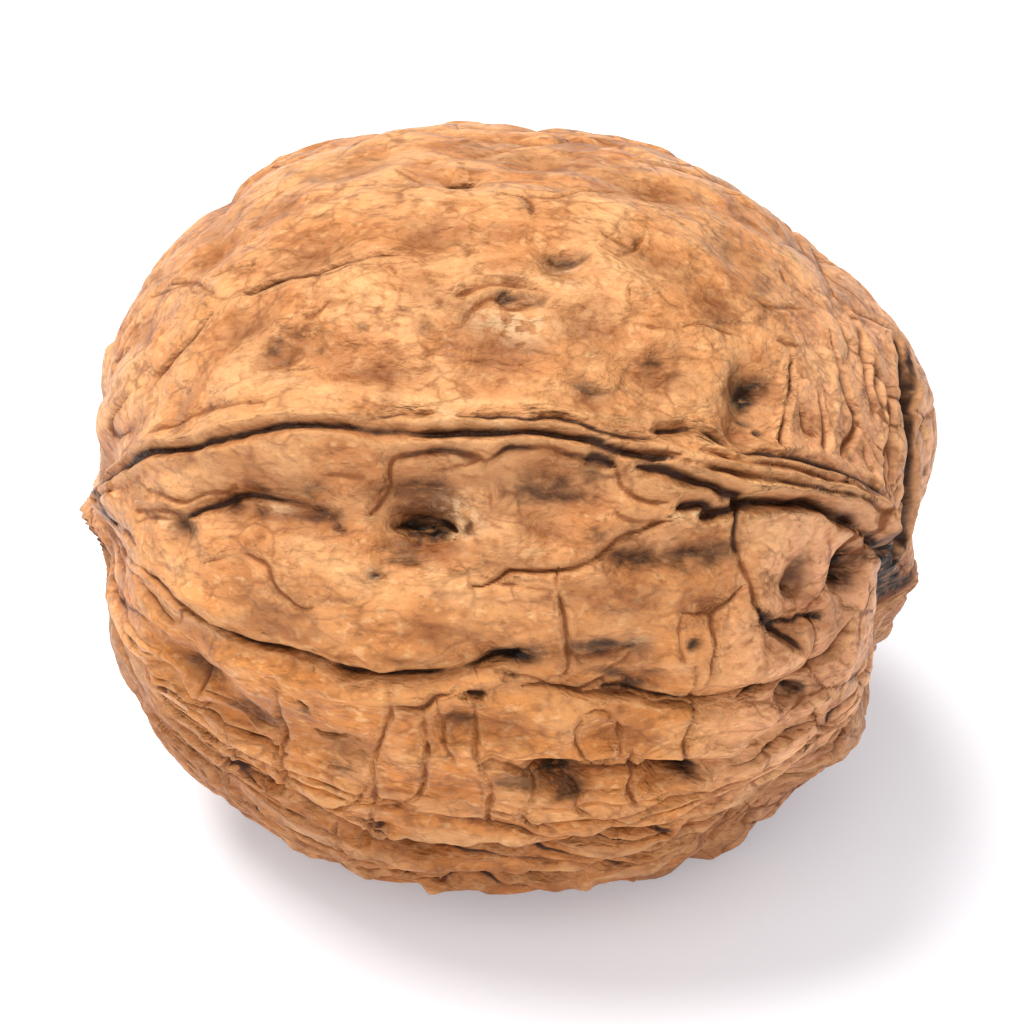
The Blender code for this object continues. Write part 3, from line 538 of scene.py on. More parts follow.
PITS = [
    (-5.9, -15.9, 1.6, 0.55, 0.3, 1.0), (-4.2, -16.4, 0.9, 0.3, 0.1, 1.0), (-5.5, -13, 2.2, 1.0, 0.1, 0.4),
    (-4.9, -10.6, 1.4, 0.4, 0.15, 0.7), (0.9, -15.4, 0.35, 0.3, 0.25, 1.0), (0.2, -13.4, 0.3, 0.25, 0.2, 0.6),
    (-8.2, -19.2, 1.6, 0.6, 0.05, 0.45), (-12.1, -23.9, 0.4, 0.25, 0.25, 1.0),
    (-21.3, -12.4, 1.4, 0.55, 0.08, 0.65), (-19.5, -15.4, 0.8, 0.4, 0.1, 0.7),
    (-17.6, -17.4, 0.4, 0.3, 0.15, 0.8), (-30, -16.2, 0.9, 0.2, 0.12, 0.7),
    (-21.6, -17, 0.9, 0.35, 0.12, 0.6), (-41.5, -18.6, 0.7, 0.6, 0.2, 0.75),
    (-39.5, -20.4, 0.6, 0.5, 0.1, 0.5), (-47, -18, 0.9, 0.3, 0.15, 0.6), (-34, -14.6, 0.5, 0.3, 0.1, 0.8),
    (-28, -12.4, 2.2, 0.3, 0.05, 0.5), (12, -9.4, 2.6, 0.65, 0.08, 0.7), (18, -6.8, 1.1, 0.5, 0.08, 0.5),
    (8, -12, 0.5, 0.3, 0.1, 0.4), (18.2, -15.2, 0.6, 0.35, 0.12, 0.5), (26, -18.5, 2.2, 0.6, 0.12, 0.75),
    (33, -17.1, 2.0, 0.7, 0.12, 0.8), (24, -19, 1.0, 0.5, 0.08, 0.6), (50.4, -18.2, 0.8, 0.9, 0.3, 0.6),
    (49.6, -21.4, 0.5, 0.7, 0.2, 0.5), (60, -16.6, 0.95, 1.1, 0.5, 1.0), (63, -13, 0.8, 0.5, 0.15, 0.5),
    (54.6, -28.6, 0.5, 0.3, 0.25, 0.9), (48, -30.2, 1.0, 0.35, 0.2, 0.75),
    (45.6, -28.2, 0.4, 0.35, 0.25, 0.9), (35.4, -32.3, 0.35, 0.3, 0.2, 0.9),
    (22, -33.3, 1.6, 0.5, 0.12, 0.85), (27, -33.3, 0.9, 0.5, 0.08, 0.6), (9, -35.5, 1.3, 0.4, 0.2, 1.0),
    (12, -35, 1.2, 0.6, 0.08, 0.6), (26, -39, 0.8, 0.6, 0.15, 0.75), (28.8, -41.1, 0.9, 0.5, 0.15, 0.8),
    (31, -38, 0.6, 0.3, 0.1, 0.6), (23, -38, 0.6, 0.3, 0.1, 0.6), (55.3, -49.2, 0.6, 0.5, 0.45, 1.0),
    (59, -53, 0.3, 0.25, 0.1, 0.6), (39.2, -67.2, 0.75, 0.55, 0.4, 1.0), (18, -63.4, 1.4, 0.35, 0.2, 0.95),
    (19.2, -65.8, 1.0, 0.8, 0.08, 0.75), (-43.5, -47.5, 0.4, 0.35, 0.15, 0.6),
    (-25.5, -51.5, 0.35, 0.3, 0.15, 0.8), (-22, -58.6, 1.2, 0.3, 0.12, 0.6),
    (-20, -60.5, 1.2, 0.3, 0.12, 0.5), (-36, -56, 0.6, 0.3, 0.08, 0.5), (-21.4, -65.3, 0.9, 0.6, 0.08, 0.35),
    (-10, -37.5, 1.0, 0.35, 0.15, 0.5), (0.2, -49, 0.9, 0.7, 0.15, 0.55), (-45, -50, 1.6, 0.8, 0.1, 0.4),
    (-36, -57, 1.8, 1.0, 0.1, 0.45), (11.5, -64, 1.6, 0.7, 0.1, 0.6), (9.4, 23.5, 0.8, 0.3, 0.35, 0.8),
    (11.5, 24, 0.4, 0.25, 0.2, 0.7), (2.7, 16.3, 0.5, 0.3, 0.25, 0.85), (6.5, 16.4, 0.8, 0.3, 0.08, 0.45),
    (23.5, 10.6, 0.5, 0.4, 0.2, 0.65), (26.5, 9.3, 0.4, 0.3, 0.12, 0.5), (20.8, 5.2, 0.7, 0.3, 0.1, 0.45),
    (14.8, 4.5, 1.1, 0.35, 0.15, 0.65), (18, 4.4, 0.8, 0.3, 0.08, 0.45), (37.8, 11.4, 1.0, 0.95, 0.4, 0.95),
    (35, 12.5, 0.4, 0.9, 0.15, 0.45), (38.4, 6.6, 0.8, 0.25, 0.3, 1.0), (39.9, 5, 0.45, 0.2, 0.2, 1.0),
    (-27.2, 7.6, 0.35, 0.25, 0.15, 0.7), (-25, 5.7, 0.4, 0.25, 0.12, 0.6),
    (-26.4, 9.2, 0.35, 0.25, 0.12, 0.5), (-20.4, 6.8, 0.3, 0.3, 0.12, 0.5), (-23.6, 9.8, 0.4, 0.2, 0.12, 0.4),
    (-22, 4.3, 0.35, 0.2, 0.12, 0.5), (-15, 9.9, 0.3, 0.25, 0.1, 0.5), (-14.8, 14.3, 0.25, 0.25, 0.1, 0.3),
    (-7.2, 10.6, 0.45, 0.4, 0.12, 0.6), (-9.8, 12.3, 0.4, 0.2, 0.1, 0.4), (-24, 32, 1.0, 0.25, 0.08, 0.4),
    (50.5, 22.5, 0.3, 0.6, 0.15, 0.6), (66.5, -1.6, 0.45, 0.4, 0.5, 1.0), (74, 3, 0.5, 0.5, 0.6, 1.0),
    (74.5, -5, 0.5, 0.5, 0.6, 1.0), (74.5, -13, 0.5, 0.5, 0.5, 1.0), (78, -20, 0.4, 0.4, 0.3, 0.9),
    (71, 1.5, 0.4, 0.3, 0.4, 1.0), (73, -4, 1.5, 1.2, 0.2, 1.0), (76.5, 2, 1.1, 1.0, 0.2, 1.0),
    (78, -6, 1.2, 1.1, 0.2, 1.0), (81, -15, 1.3, 1.2, 0.2, 1.0), (85, -32, 1.0, 1.2, 0.2, 1.0),
    (35.5, -16.8, 2.6, 0.9, 0.1, 0.6), (66.5, -5, 0.9, 0.8, 0.1, 1.0), (70, -10, 1.1, 1.0, 0.1, 1.0),
    (73.5, -16, 1.2, 1.1, 0.2, 1.0), (77, -22, 1.2, 1.2, 0.2, 1.0), (-2.5, -17.2, 0.35, 0.2, 0.1, 0.8),
    (0.8, -16.6, 0.4, 0.25, 0.15, 0.9), (-8.5, -17, 0.4, 0.2, 0.1, 0.8), (-4, -17.5, 0.25, 0.3, 0.1, 0.7),
    (-6.5, -17.7, 0.2, 0.35, 0.1, 0.7), (-7, -21.5, 1.6, 0.25, 0.05, 0.55), (78, -14, 1.5, 1.2, 0.2, 1.0),
    (83, -25, 1.2, 1.0, 0.2, 0.95), (76, 8, 0.8, 0.8, 0.2, 0.9), (-66, -9, 0.5, 0.5, 0.1, 0.9),
    (-64, -14, 0.5, 0.7, 0.1, 0.9), (-67, -19, 0.4, 0.5, 0.1, 0.85), (-63, -11, 0.3, 0.5, 0.25, 0.9),
    (-62, -21.5, 0.3, 0.5, 0.25, 0.9),
]

# Pale, chalky patches of dry husk beside some pits: place, half length, half width, strength.
PALE_SPOTS = [
    (3, 13, 2.0, 1.0, 0.6), (5.5, 12, 1.6, 0.9, 0.7), (9.5, 19.2, 1.4, 0.4, 0.5), (-6.3, 37.8, 0.9, 0.4, 0.7),
    (1, -15.5, 1.0, 0.7, 0.6), (-45, -19, 1.0, 0.5, 0.6), (-12.4, -23.5, 0.3, 0.4, 0.8),
    (29.5, -12, 0.5, 0.2, 0.9), (37, 10, 0.35, 0.5, 0.7), (-41, 6, 0.9, 1.2, 0.4), (-24, 2.5, 1.6, 0.5, 0.4),
    (4, -3, 0.3, 0.3, 0.5), (-3, -1.8, 0.4, 0.3, 0.9), (27, -32, 0.8, 0.4, 0.4), (34, -37, 0.6, 0.3, 0.5),
    (-1.5, -12.8, 0.9, 0.6, 0.7), (-27, -15.2, 1.6, 0.3, 0.5), (32, -10.8, 0.35, 0.2, 1.0),
    (9.7, 22.2, 0.9, 0.25, 0.6), (-1, -16.9, 0.35, 0.25, 0.8), (1.6, -14.6, 0.3, 0.4, 0.8),
    (-3, -13.2, 0.4, 0.3, 0.7), (0.3, -12.4, 0.3, 0.5, 0.7),
]


def hidden_dents(rng):
    """Dents on the back and under the nut."""
    dents = []
    for _ in range(16):
        around = rng.uniform(85, 250)
        along = rng.uniform(-55, 55)
        half_length = rng.uniform(0.8, 2.4)
        half_width = rng.uniform(0.7, 1.3)
        dents.append((along, around, half_length, half_width, rng.uniform(0.25, 0.7)))
    return dents


def dent_weight(points, along, around, half_length, half_width):
    """The points near a dent, and how deep in it each of them lies, from 0 to 1."""
    middle = on_shell(along, around)
    close = near(points, middle[None], 3 * max(half_length, half_width))
    offset = points[close] - middle
    lengthwise = offset[:, 0] / math.cos(math.radians(along)) ** 0.5
    sidewise = np.sqrt(np.maximum((offset ** 2).sum(axis=1) - offset[:, 0] ** 2, 0))
    return close, np.exp(-(lengthwise / half_length) ** 2 - (sidewise / half_width) ** 2)


def press_dents(bent, streaks, fibre, rng, height, marks):
    """Presses the dents and pits, puts soot in the pits but not on the strands, and chalk beside them.

    Paints shade in the dents and in and around the pits.
    """
    for along, around, half_length, half_width, depth in DENTS + hidden_dents(rng):
        close, weight = dent_weight(bent, along, around, half_length, half_width)
        height[close] -= DENT_DEEPER * depth * weight
        # Painted shade in each dent, deepest at its middle.
        strengthen(marks["painted_shade"], close, np.clip(weight * (0.8 + 0.4 * streaks[close]), 0, 1))
    for along, around, half_length, half_width, depth, dark in PITS:
        close, weight = dent_weight(bent, along, around, half_length, half_width)
        height[close] -= depth * weight
        sooty = smooth_step(weight * (1 + 0.75 * streaks[close]), 0.12, 0.85)
        strengthen(marks["soot"], close, dark * sooty)
        # Painted shade in and around each pit, stronger where it is sootier.
        strengthen(marks["painted_shade"], close, 0.8 * dark * weight ** 0.5)
    marks["soot"] *= 1 - 0.8 * fibre
    for along, around, half_length, half_width, strength in PALE_SPOTS:
        close, weight = dent_weight(bent, along, around, half_length, half_width)
        strengthen(marks["pale"], close, strength * weight)


# The shell's skin
# The hard skin is parted by shallow veins into low cells, pinched folds run into both ends and along the
# underside, and fine ripples run along it all. Each place gets its marks, which the colours are mixed from;
# some of them are painted shade in hollows, creases and under the nut, and painted highlight on raised
# places.
CELL_LENGTH = 6.5
CELL_WIDTH = 4.6
CELL_HEIGHT = 0.42
CELL_VEIN_WIDTH = 0.2
SMALL_CELL_LENGTH = 3.4
SMALL_CELL_WIDTH = 2.2
SMALL_CELL_HEIGHT = 0.10
CALM_FRONT = 0.85
WAVE_LENGTH = 9.0
WAVE_HEIGHT = 0.45
PILLOW_LENGTH = 2.7
PILLOW_HEIGHT = 0.18
WRINKLES_ROUND = 4.2
WRINKLE_HEIGHT = 0.65
WRINKLES_FROM = 44
WRINKLES_GROW_OVER = 25
WRINKLES_END_OVER = 22
FOLDS_ROUND = 20
FOLDS_ROUND_AT_TIPS = 8
FOLD_HEIGHT = 0.35
CREASE_DEPTH = 0.25
UNDERSIDE_FROM = 58
DRAWN_END = (58, 16)
RIPPLE_LENGTH = 2.4
RIPPLE_WIDTH = 0.8
RIPPLE_HEIGHT = 0.05
LINE_WOBBLE = 0.13
# The seventh and sixth marks are painted shade and painted highlight.
MARKS = ("vein", "darkness", "soot", "pale", "painted_shade", "painted_highlight", "halo")
SEED = 17


def cell_edges(places, salt):
    """How far each place lies from the edge of its cell: 0 on the edge, about half in the middle."""
    corner = np.floor(places).astype(np.int64)
    first = np.full(len(places), 9.0)
    second = np.full(len(places), 9.0)
    for step in np.ndindex(3, 3, 3):
        cell = corner + np.array(step) - 1
        seed = np.stack([scatter(cell, salt + k) for k in range(3)], axis=1)
        away = cell + seed - places
        gap = np.sqrt(np.einsum("ij,ij->i", away, away))
        second = np.minimum(second, np.maximum(first, gap))
        first = np.minimum(first, gap)
    return second - first


def draw_over(marks, slope, dark):
    """Draws a line over the ones already there, wherever it shows more than they do."""
    wins = slope * dark > marks["vein"] * marks["darkness"]
    marks["vein"] = np.where(wins, slope, marks["vein"])
    marks["darkness"] = np.where(wins, dark, marks["darkness"])


def raise_cells(way, points, along, turn, bend, height, marks):
    """Lifts large and small cells between veins, nearly flat in front, where the drawn veins lie.

    Paints shade along the edges of the large cells.
    """
    upper = 0.8 + 0.2 * smooth_step(turn, -45, -20)
    front = smooth_step(way @ direction(0, -30), -0.15, 0.3) * smooth_step(-along, -62, -40)
    calm = 1 - CALM_FRONT * upper * front
    edge = cell_edges(points / np.array([CELL_LENGTH, CELL_WIDTH, CELL_WIDTH]) + bend, 7)
    height += CELL_HEIGHT * (calm * (1 - np.exp(-edge / CELL_VEIN_WIDTH)) - 0.5)
    small_places = points / np.array([SMALL_CELL_LENGTH, SMALL_CELL_WIDTH, SMALL_CELL_WIDTH])
    small_edge = cell_edges(small_places + 0.3 * three_waves(points / 1.7, 60), 11)
    patchy = smooth_step(waves(points / 3.1, 71), -0.45, 0.5)
    height += SMALL_CELL_HEIGHT * calm * (1 - np.exp(-small_edge / 0.1)) * (0.4 + 0.6 * patchy)
    draw_over(marks, np.clip(1 - edge / 0.09, 0, 1), 0.7 * (calm - 0.1))
    draw_over(marks, np.clip(1 - small_edge / 0.13, 0, 1), 0.6 * patchy * (calm - 0.1))
    # Painted shade along the edges of the large cells.
    marks["painted_shade"] = np.maximum(marks["painted_shade"], 0.35 * calm * np.exp(-(edge / 0.12) ** 2))


def swell_skin(points, turn, streaks, height, marks):
    """Gives the skin long waves, low pillows and fine ripples.

    Paints highlight on the pillow tops, shade in the dips between them, and shade under the nut.
    """
    height += WAVE_HEIGHT * waves(points / WAVE_LENGTH, 3)
    pillow = waves(points / PILLOW_LENGTH, 5) + 0.6 * waves(points / 1.3, 6)
    height += PILLOW_HEIGHT * pillow
    ripples = points / np.array([RIPPLE_LENGTH, RIPPLE_WIDTH, RIPPLE_WIDTH])
    height += RIPPLE_HEIGHT * waves(ripples, 91) + 0.6 * RIPPLE_HEIGHT * waves(2.1 * ripples, 92)
    # Painted highlight on the pillow tops and painted shade in the dips between them.
    marks["painted_highlight"] = np.maximum(marks["painted_highlight"], 0.5 * smooth_step(pillow, 0.05, 0.8))
    marks["painted_shade"] = np.maximum(marks["painted_shade"], 0.48 * smooth_step(-pillow, 0.05, 0.8))
    # Painted shade, darker towards the bottom of the nut.
    painted_shade_underneath = 0.8 * smooth_step(-turn, 70, 98) * (0.7 + 0.3 * streaks)
    marks["painted_shade"] = np.maximum(marks["painted_shade"], painted_shade_underneath)


def fold_ends(way, points, along, around, bend, height, marks):
    """Runs broad wrinkles and pinched folds into both ends, and the folds along the underside as well.

    Paints shade in the creases and highlight on the swells of the folds.
    """
    turn = np.degrees(around)
    toward_ends = np.clip((abs(along) - WRINKLES_FROM) / WRINKLES_GROW_OVER, 0, 1)
    toward_ends *= np.clip((90 - abs(along)) / WRINKLES_END_OVER, 0, 1)
    drawn_end = smooth_step(way @ direction(*DRAWN_END), 0.72, 0.9)
    across = np.stack([np.cos(around), np.sin(around)], axis=1)
    wrinkles = np.column_stack([WRINKLES_ROUND * across, points[:, 0] / 9.0])
    height += WRINKLE_HEIGHT * toward_ends * (1 - 0.75 * drawn_end) * waves(wrinkles, 21)

    underside = smooth_step(-turn, UNDERSIDE_FROM, UNDERSIDE_FROM + 30) + smooth_step(turn, 75, 100)
    underside *= 1 - 0.6 * smooth_step(abs(abs(turn) - 180), 30, 8)
    folded = np.clip(underside + toward_ends * (1 - 0.7 * drawn_end), 0, 1)
    many = waves(np.column_stack([FOLDS_ROUND * across, points[:, 0] / 7.0]) + 0.5 * bend, 81)
    few = waves(np.column_stack([FOLDS_ROUND_AT_TIPS * across, points[:, 0] / 6.0]) + 0.3 * bend, 82)
    near_tips = smooth_step(abs(along), 52, 72)
    swell = abs((1 - near_tips) * many + near_tips * few)
    crease = (1 - swell) ** 6 * folded
    height += FOLD_HEIGHT * (swell ** 0.7 - 0.4) * folded - CREASE_DEPTH * crease
    # Painted shade as a dark line and brown in each fold's crease, and painted highlight on each fold's
    # swell.
    draw_over(marks, np.clip(1 - swell / 0.16, 0, 1) * smooth_step(folded, 0.2, 0.6), 0.9 * folded)
    marks["painted_highlight"] = np.maximum(marks["painted_highlight"], 0.9 * folded * smooth_step(swell, 0.25, 0.6))
    marks["painted_shade"] = np.maximum(marks["painted_shade"], 0.95 * crease)


def grow(way):
    """Height of the shell above its plain form in each direction, and its marks there, from 0 to 1."""
    points = np.asfortranarray(way * plain_radius(way)[:, None])
    along = np.degrees(np.arcsin(np.clip(way[:, 0], -1, 1)))
    around = np.arctan2(way[:, 2], way[:, 1])
    turn = np.degrees(around)
    wobble = LINE_WOBBLE * (three_waves(points / 1.5, 50) + 0.4 * three_waves(points / 0.5, 53))
    bent = np.asfortranarray(points + wobble)
    streaks = waves(points * np.array([0.9, 2.6, 2.6]), 31) + 0.6 * waves(points * np.array([2.2, 5, 5]), 32)
    bend = 0.35 * three_waves(points / 4.0, 40)
    rng = np.random.RandomState(SEED)
    height = np.zeros(len(way))
    marks = {name: np.zeros(len(way)) for name in MARKS}

    raise_lobes(way, height)
    raise_seam(points, along, height)
    press_lines(points, bent, turn, rng, height, marks)
    fibre = lay_strands(bent, height, marks)
    press_dents(bent, streaks, fibre, rng, height, marks)
    raise_cells(way, points, along, turn, bend, height, marks)
    swell_skin(points, turn, streaks, height, marks)
    fold_ends(way, points, along, around, bend, height, marks)

    marks["halo"] *= 0.6 + 0.4 * waves(points / 1.6, 95)
    marks["ochre"] = smooth_step(-turn, 12, 52) * smooth_step(turn, -150, -90) * smooth_step(-along, -58, -34)
    marks["pink"] = np.clip(smooth_step(along, 34, 56) + 0.5 * smooth_step(-along, 52, 66), 0, 1)
    return height, marks


# The shell's mesh
# A fine ball of triangles, pushed out to the shell's form and thinned where the shell is smooth, so that most
# of its corners lie in the furrows and veins.
SQUARES_ALONG_CUBE_EDGE = 256
TRIANGLES_KEPT = 196000
MARKED_WEIGHT = 0.05
CALM_WEIGHT = 1.0
WEIGHT_OF_CALM_SKIN = 0.0006
MAP_SQUARE_FILLED = 0.93


def cube_ball(squares):
    """Directions spread evenly over a ball, and the triangles between them."""
    edge = np.tan(np.linspace(-math.pi / 4, math.pi / 4, squares + 1))
    edge[0], edge[-1] = -1.0, 1.0
    first, second = np.meshgrid(edge, edge, indexing="ij")
    corner = np.arange((squares + 1) ** 2).reshape(squares + 1, squares + 1)
    quads = np.stack([corner[:-1, :-1], corner[1:, :-1], corner[1:, 1:], corner[:-1, 1:]], axis=-1)
    quads = quads.reshape(-1, 4)
    ways = []
    faces = []
    for axis in range(3):
        for side in (-1.0, 1.0):
            way = np.empty((first.size, 3))
            way[:, axis] = side
            way[:, (axis + 1) % 3] = first.ravel()
            way[:, (axis + 2) % 3] = second.ravel()
            faces.append((quads if side > 0 else quads[:, ::-1]) + len(ways) * first.size)
            ways.append(way)
    ways = np.vstack(ways)
    faces = np.vstack(faces)
    _, kept, renumbered = np.unique(np.round(ways * 1e6).astype(np.int64), axis=0, return_index=True,
                                    return_inverse=True)
    faces = renumbered.reshape(-1)[faces]
    triangles = np.vstack([faces[:, [0, 1, 2]], faces[:, [0, 2, 3]]])
    ways = ways[kept]
    return ways / np.linalg.norm(ways, axis=1, keepdims=True), triangles


tilt = math.radians(SEAM_ABOVE_LEVEL)
nut_axes = np.array([[1, 0, 0], [0, -math.cos(tilt), math.sin(tilt)], [0, math.sin(tilt), math.cos(tilt)]])
ball, triangles = cube_ball(SQUARES_ALONG_CUBE_EDGE)
plain = plain_radius(ball @ nut_axes.T)
lowest = (ball[:, 2] * plain).min()
floor_level = lowest + FLAT_SPOT_DEPTH
height, marks = grow(ball @ nut_axes.T)
near_floor = 1 - np.exp(-((ball[:, 2] * plain - lowest) / FLAT_SPOT_FADE) ** 2)
radius = plain + height * near_floor
pressed = np.minimum(radius, floor_level / np.minimum(ball[:, 2], -1e-6))
radius = np.where(ball[:, 2] < 0, pressed, radius)
corners = ball * radius[:, None]
corners[:, 2] -= floor_level

# The fine shell is set where the CAD solid stands, and fitted to the same box.
cad_low, cad_high = (np.array(c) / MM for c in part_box("walnut"))
fit = (cad_high - cad_low) / np.ptp(corners, axis=0)
corners *= fit
shift = cad_low - corners.min(axis=0)
corners += shift

mesh = bpy.data.meshes.new("walnut_shell")
mesh.vertices.add(len(corners))
mesh.vertices.foreach_set("co", corners.ravel())
mesh.loops.add(triangles.size)
mesh.loops.foreach_set("vertex_index", triangles.ravel().astype(np.int32))
mesh.polygons.add(len(triangles))
mesh.polygons.foreach_set("loop_start", np.arange(0, triangles.size, 3, dtype=np.int32))
mesh.update(calc_edges=True)
shell = bpy.data.objects.new("walnut_shell", mesh)
bpy.context.scene.collection.objects.link(shell)

# The shell is thinned while it still measures in millimetres, because in metres its edges are too short for
# the thinning to weigh. The calm skin gives up its triangles first.
marked = (marks["vein"] > 0.2) & (marks["darkness"] > 0.5)
calm_skin = shell.vertex_groups.new(name="calm_skin")
calm_skin.add(np.nonzero(~marked)[0].tolist(), CALM_WEIGHT, "REPLACE")
calm_skin.add(np.nonzero(marked)[0].tolist(), MARKED_WEIGHT, "REPLACE")
thin = shell.modifiers.new("keep_triangles_at_the_veins", "DECIMATE")
thin.vertex_group = "calm_skin"
thin.vertex_group_factor = WEIGHT_OF_CALM_SKIN
thin.ratio = TRIANGLES_KEPT / len(triangles)
thinned = bpy.data.meshes.new_from_object(shell.evaluated_get(bpy.context.evaluated_depsgraph_get()))
shell.modifiers.clear()
shell.data = thinned
shell.vertex_groups.clear()
bpy.data.meshes.remove(mesh)
thinned.shade_smooth()

places = np.empty(len(thinned.vertices) * 3)
thinned.vertices.foreach_get("co", places)
places = places.reshape(-1, 3)
places[places[:, 2] < FLAT_SPOT_REACH, 2] = 0.0
places = np.clip(places, cad_low, cad_high)
thinned.vertices.foreach_set("co", (places * MM).ravel())
ways = (places - shift) / fit + np.array([0, 0, floor_level])
ways /= np.linalg.norm(ways, axis=1, keepdims=True)
_, marks = grow(ways @ nut_axes.T)
for name, values in marks.items():
    layer = thinned.attributes.new(name, "FLOAT", "POINT")
    layer.data.foreach_set("value", values.astype(np.float32))

# A flat map of the shell for its baked colours: six squares, one for each side of the ball.
corner_of = np.empty(len(thinned.loops), dtype=np.int32)
thinned.loops.foreach_get("vertex_index", corner_of)
loop_way = ways[corner_of].reshape(-1, 3, 3)
middle_way = loop_way.mean(axis=1)
axis = np.argmax(abs(middle_way), axis=1)
rows = np.arange(len(axis))
side = np.sign(middle_way[rows, axis])
across = loop_way[rows, :, (axis + 1) % 3] / abs(loop_way[rows, :, axis])
upward = loop_way[rows, :, (axis + 2) % 3] / abs(loop_way[rows, :, axis])
square = np.stack([np.arctan(across * side[:, None]), np.arctan(upward)], axis=-1) / (math.pi / 2)
tile = np.stack([axis, (side > 0).astype(int)], axis=1)
flat_map = (square * MAP_SQUARE_FILLED + 0.5 + tile[:, None, :]) / np.array([3, 2])
bake_map = thinned.uv_layers.new(name="OFBake")
bake_map.data.foreach_set("uv", flat_map.reshape(-1).astype(np.float32))


# The shell's finish
# Dry, dull and woody: pale tan on top, more ochre in front and below, pinker at the ends, with brown veins,
# grey soot in the pits and a fine grain of darker specks. Brown shade is painted in hollows, creases, along
# the lines and under the nut, and a pale highlight on raised places.
TAN = (0.61, 0.255, 0.090, 1)
LIGHT_TAN = (0.72, 0.352, 0.148, 1)
WARM_BROWN = (0.26, 0.085, 0.025, 1)
# The brown of the painted shade.
PAINTED_SHADE_BROWN = (0.17, 0.046, 0.013, 1)
OCHRE = (0.59, 0.207, 0.038, 1)
PINK_TAN = (0.77, 0.385, 0.215, 1)
VEIN_BROWN = (0.036, 0.012, 0.005, 1)
SOOT = (0.016, 0.009, 0.006, 1)
RED_BROWN = (0.21, 0.066, 0.018, 1)
HALO_BROWN = (0.36, 0.105, 0.027, 1)
CHALK = (0.78, 0.52, 0.29, 1)
# Pale tan of the random specks and of the painted highlight.
PALE_SPECK_AND_HIGHLIGHT_TAN = (0.83, 0.475, 0.215, 1)
CRACK_BROWN = (0.16, 0.050, 0.015, 1)
ROUGHNESS = 0.45
DULL_SHINE = 0.15
DIMPLE_DEPTH = 0.3
GRAIN_DEPTH = 0.2
GROOVE_DEPTH = 0.2


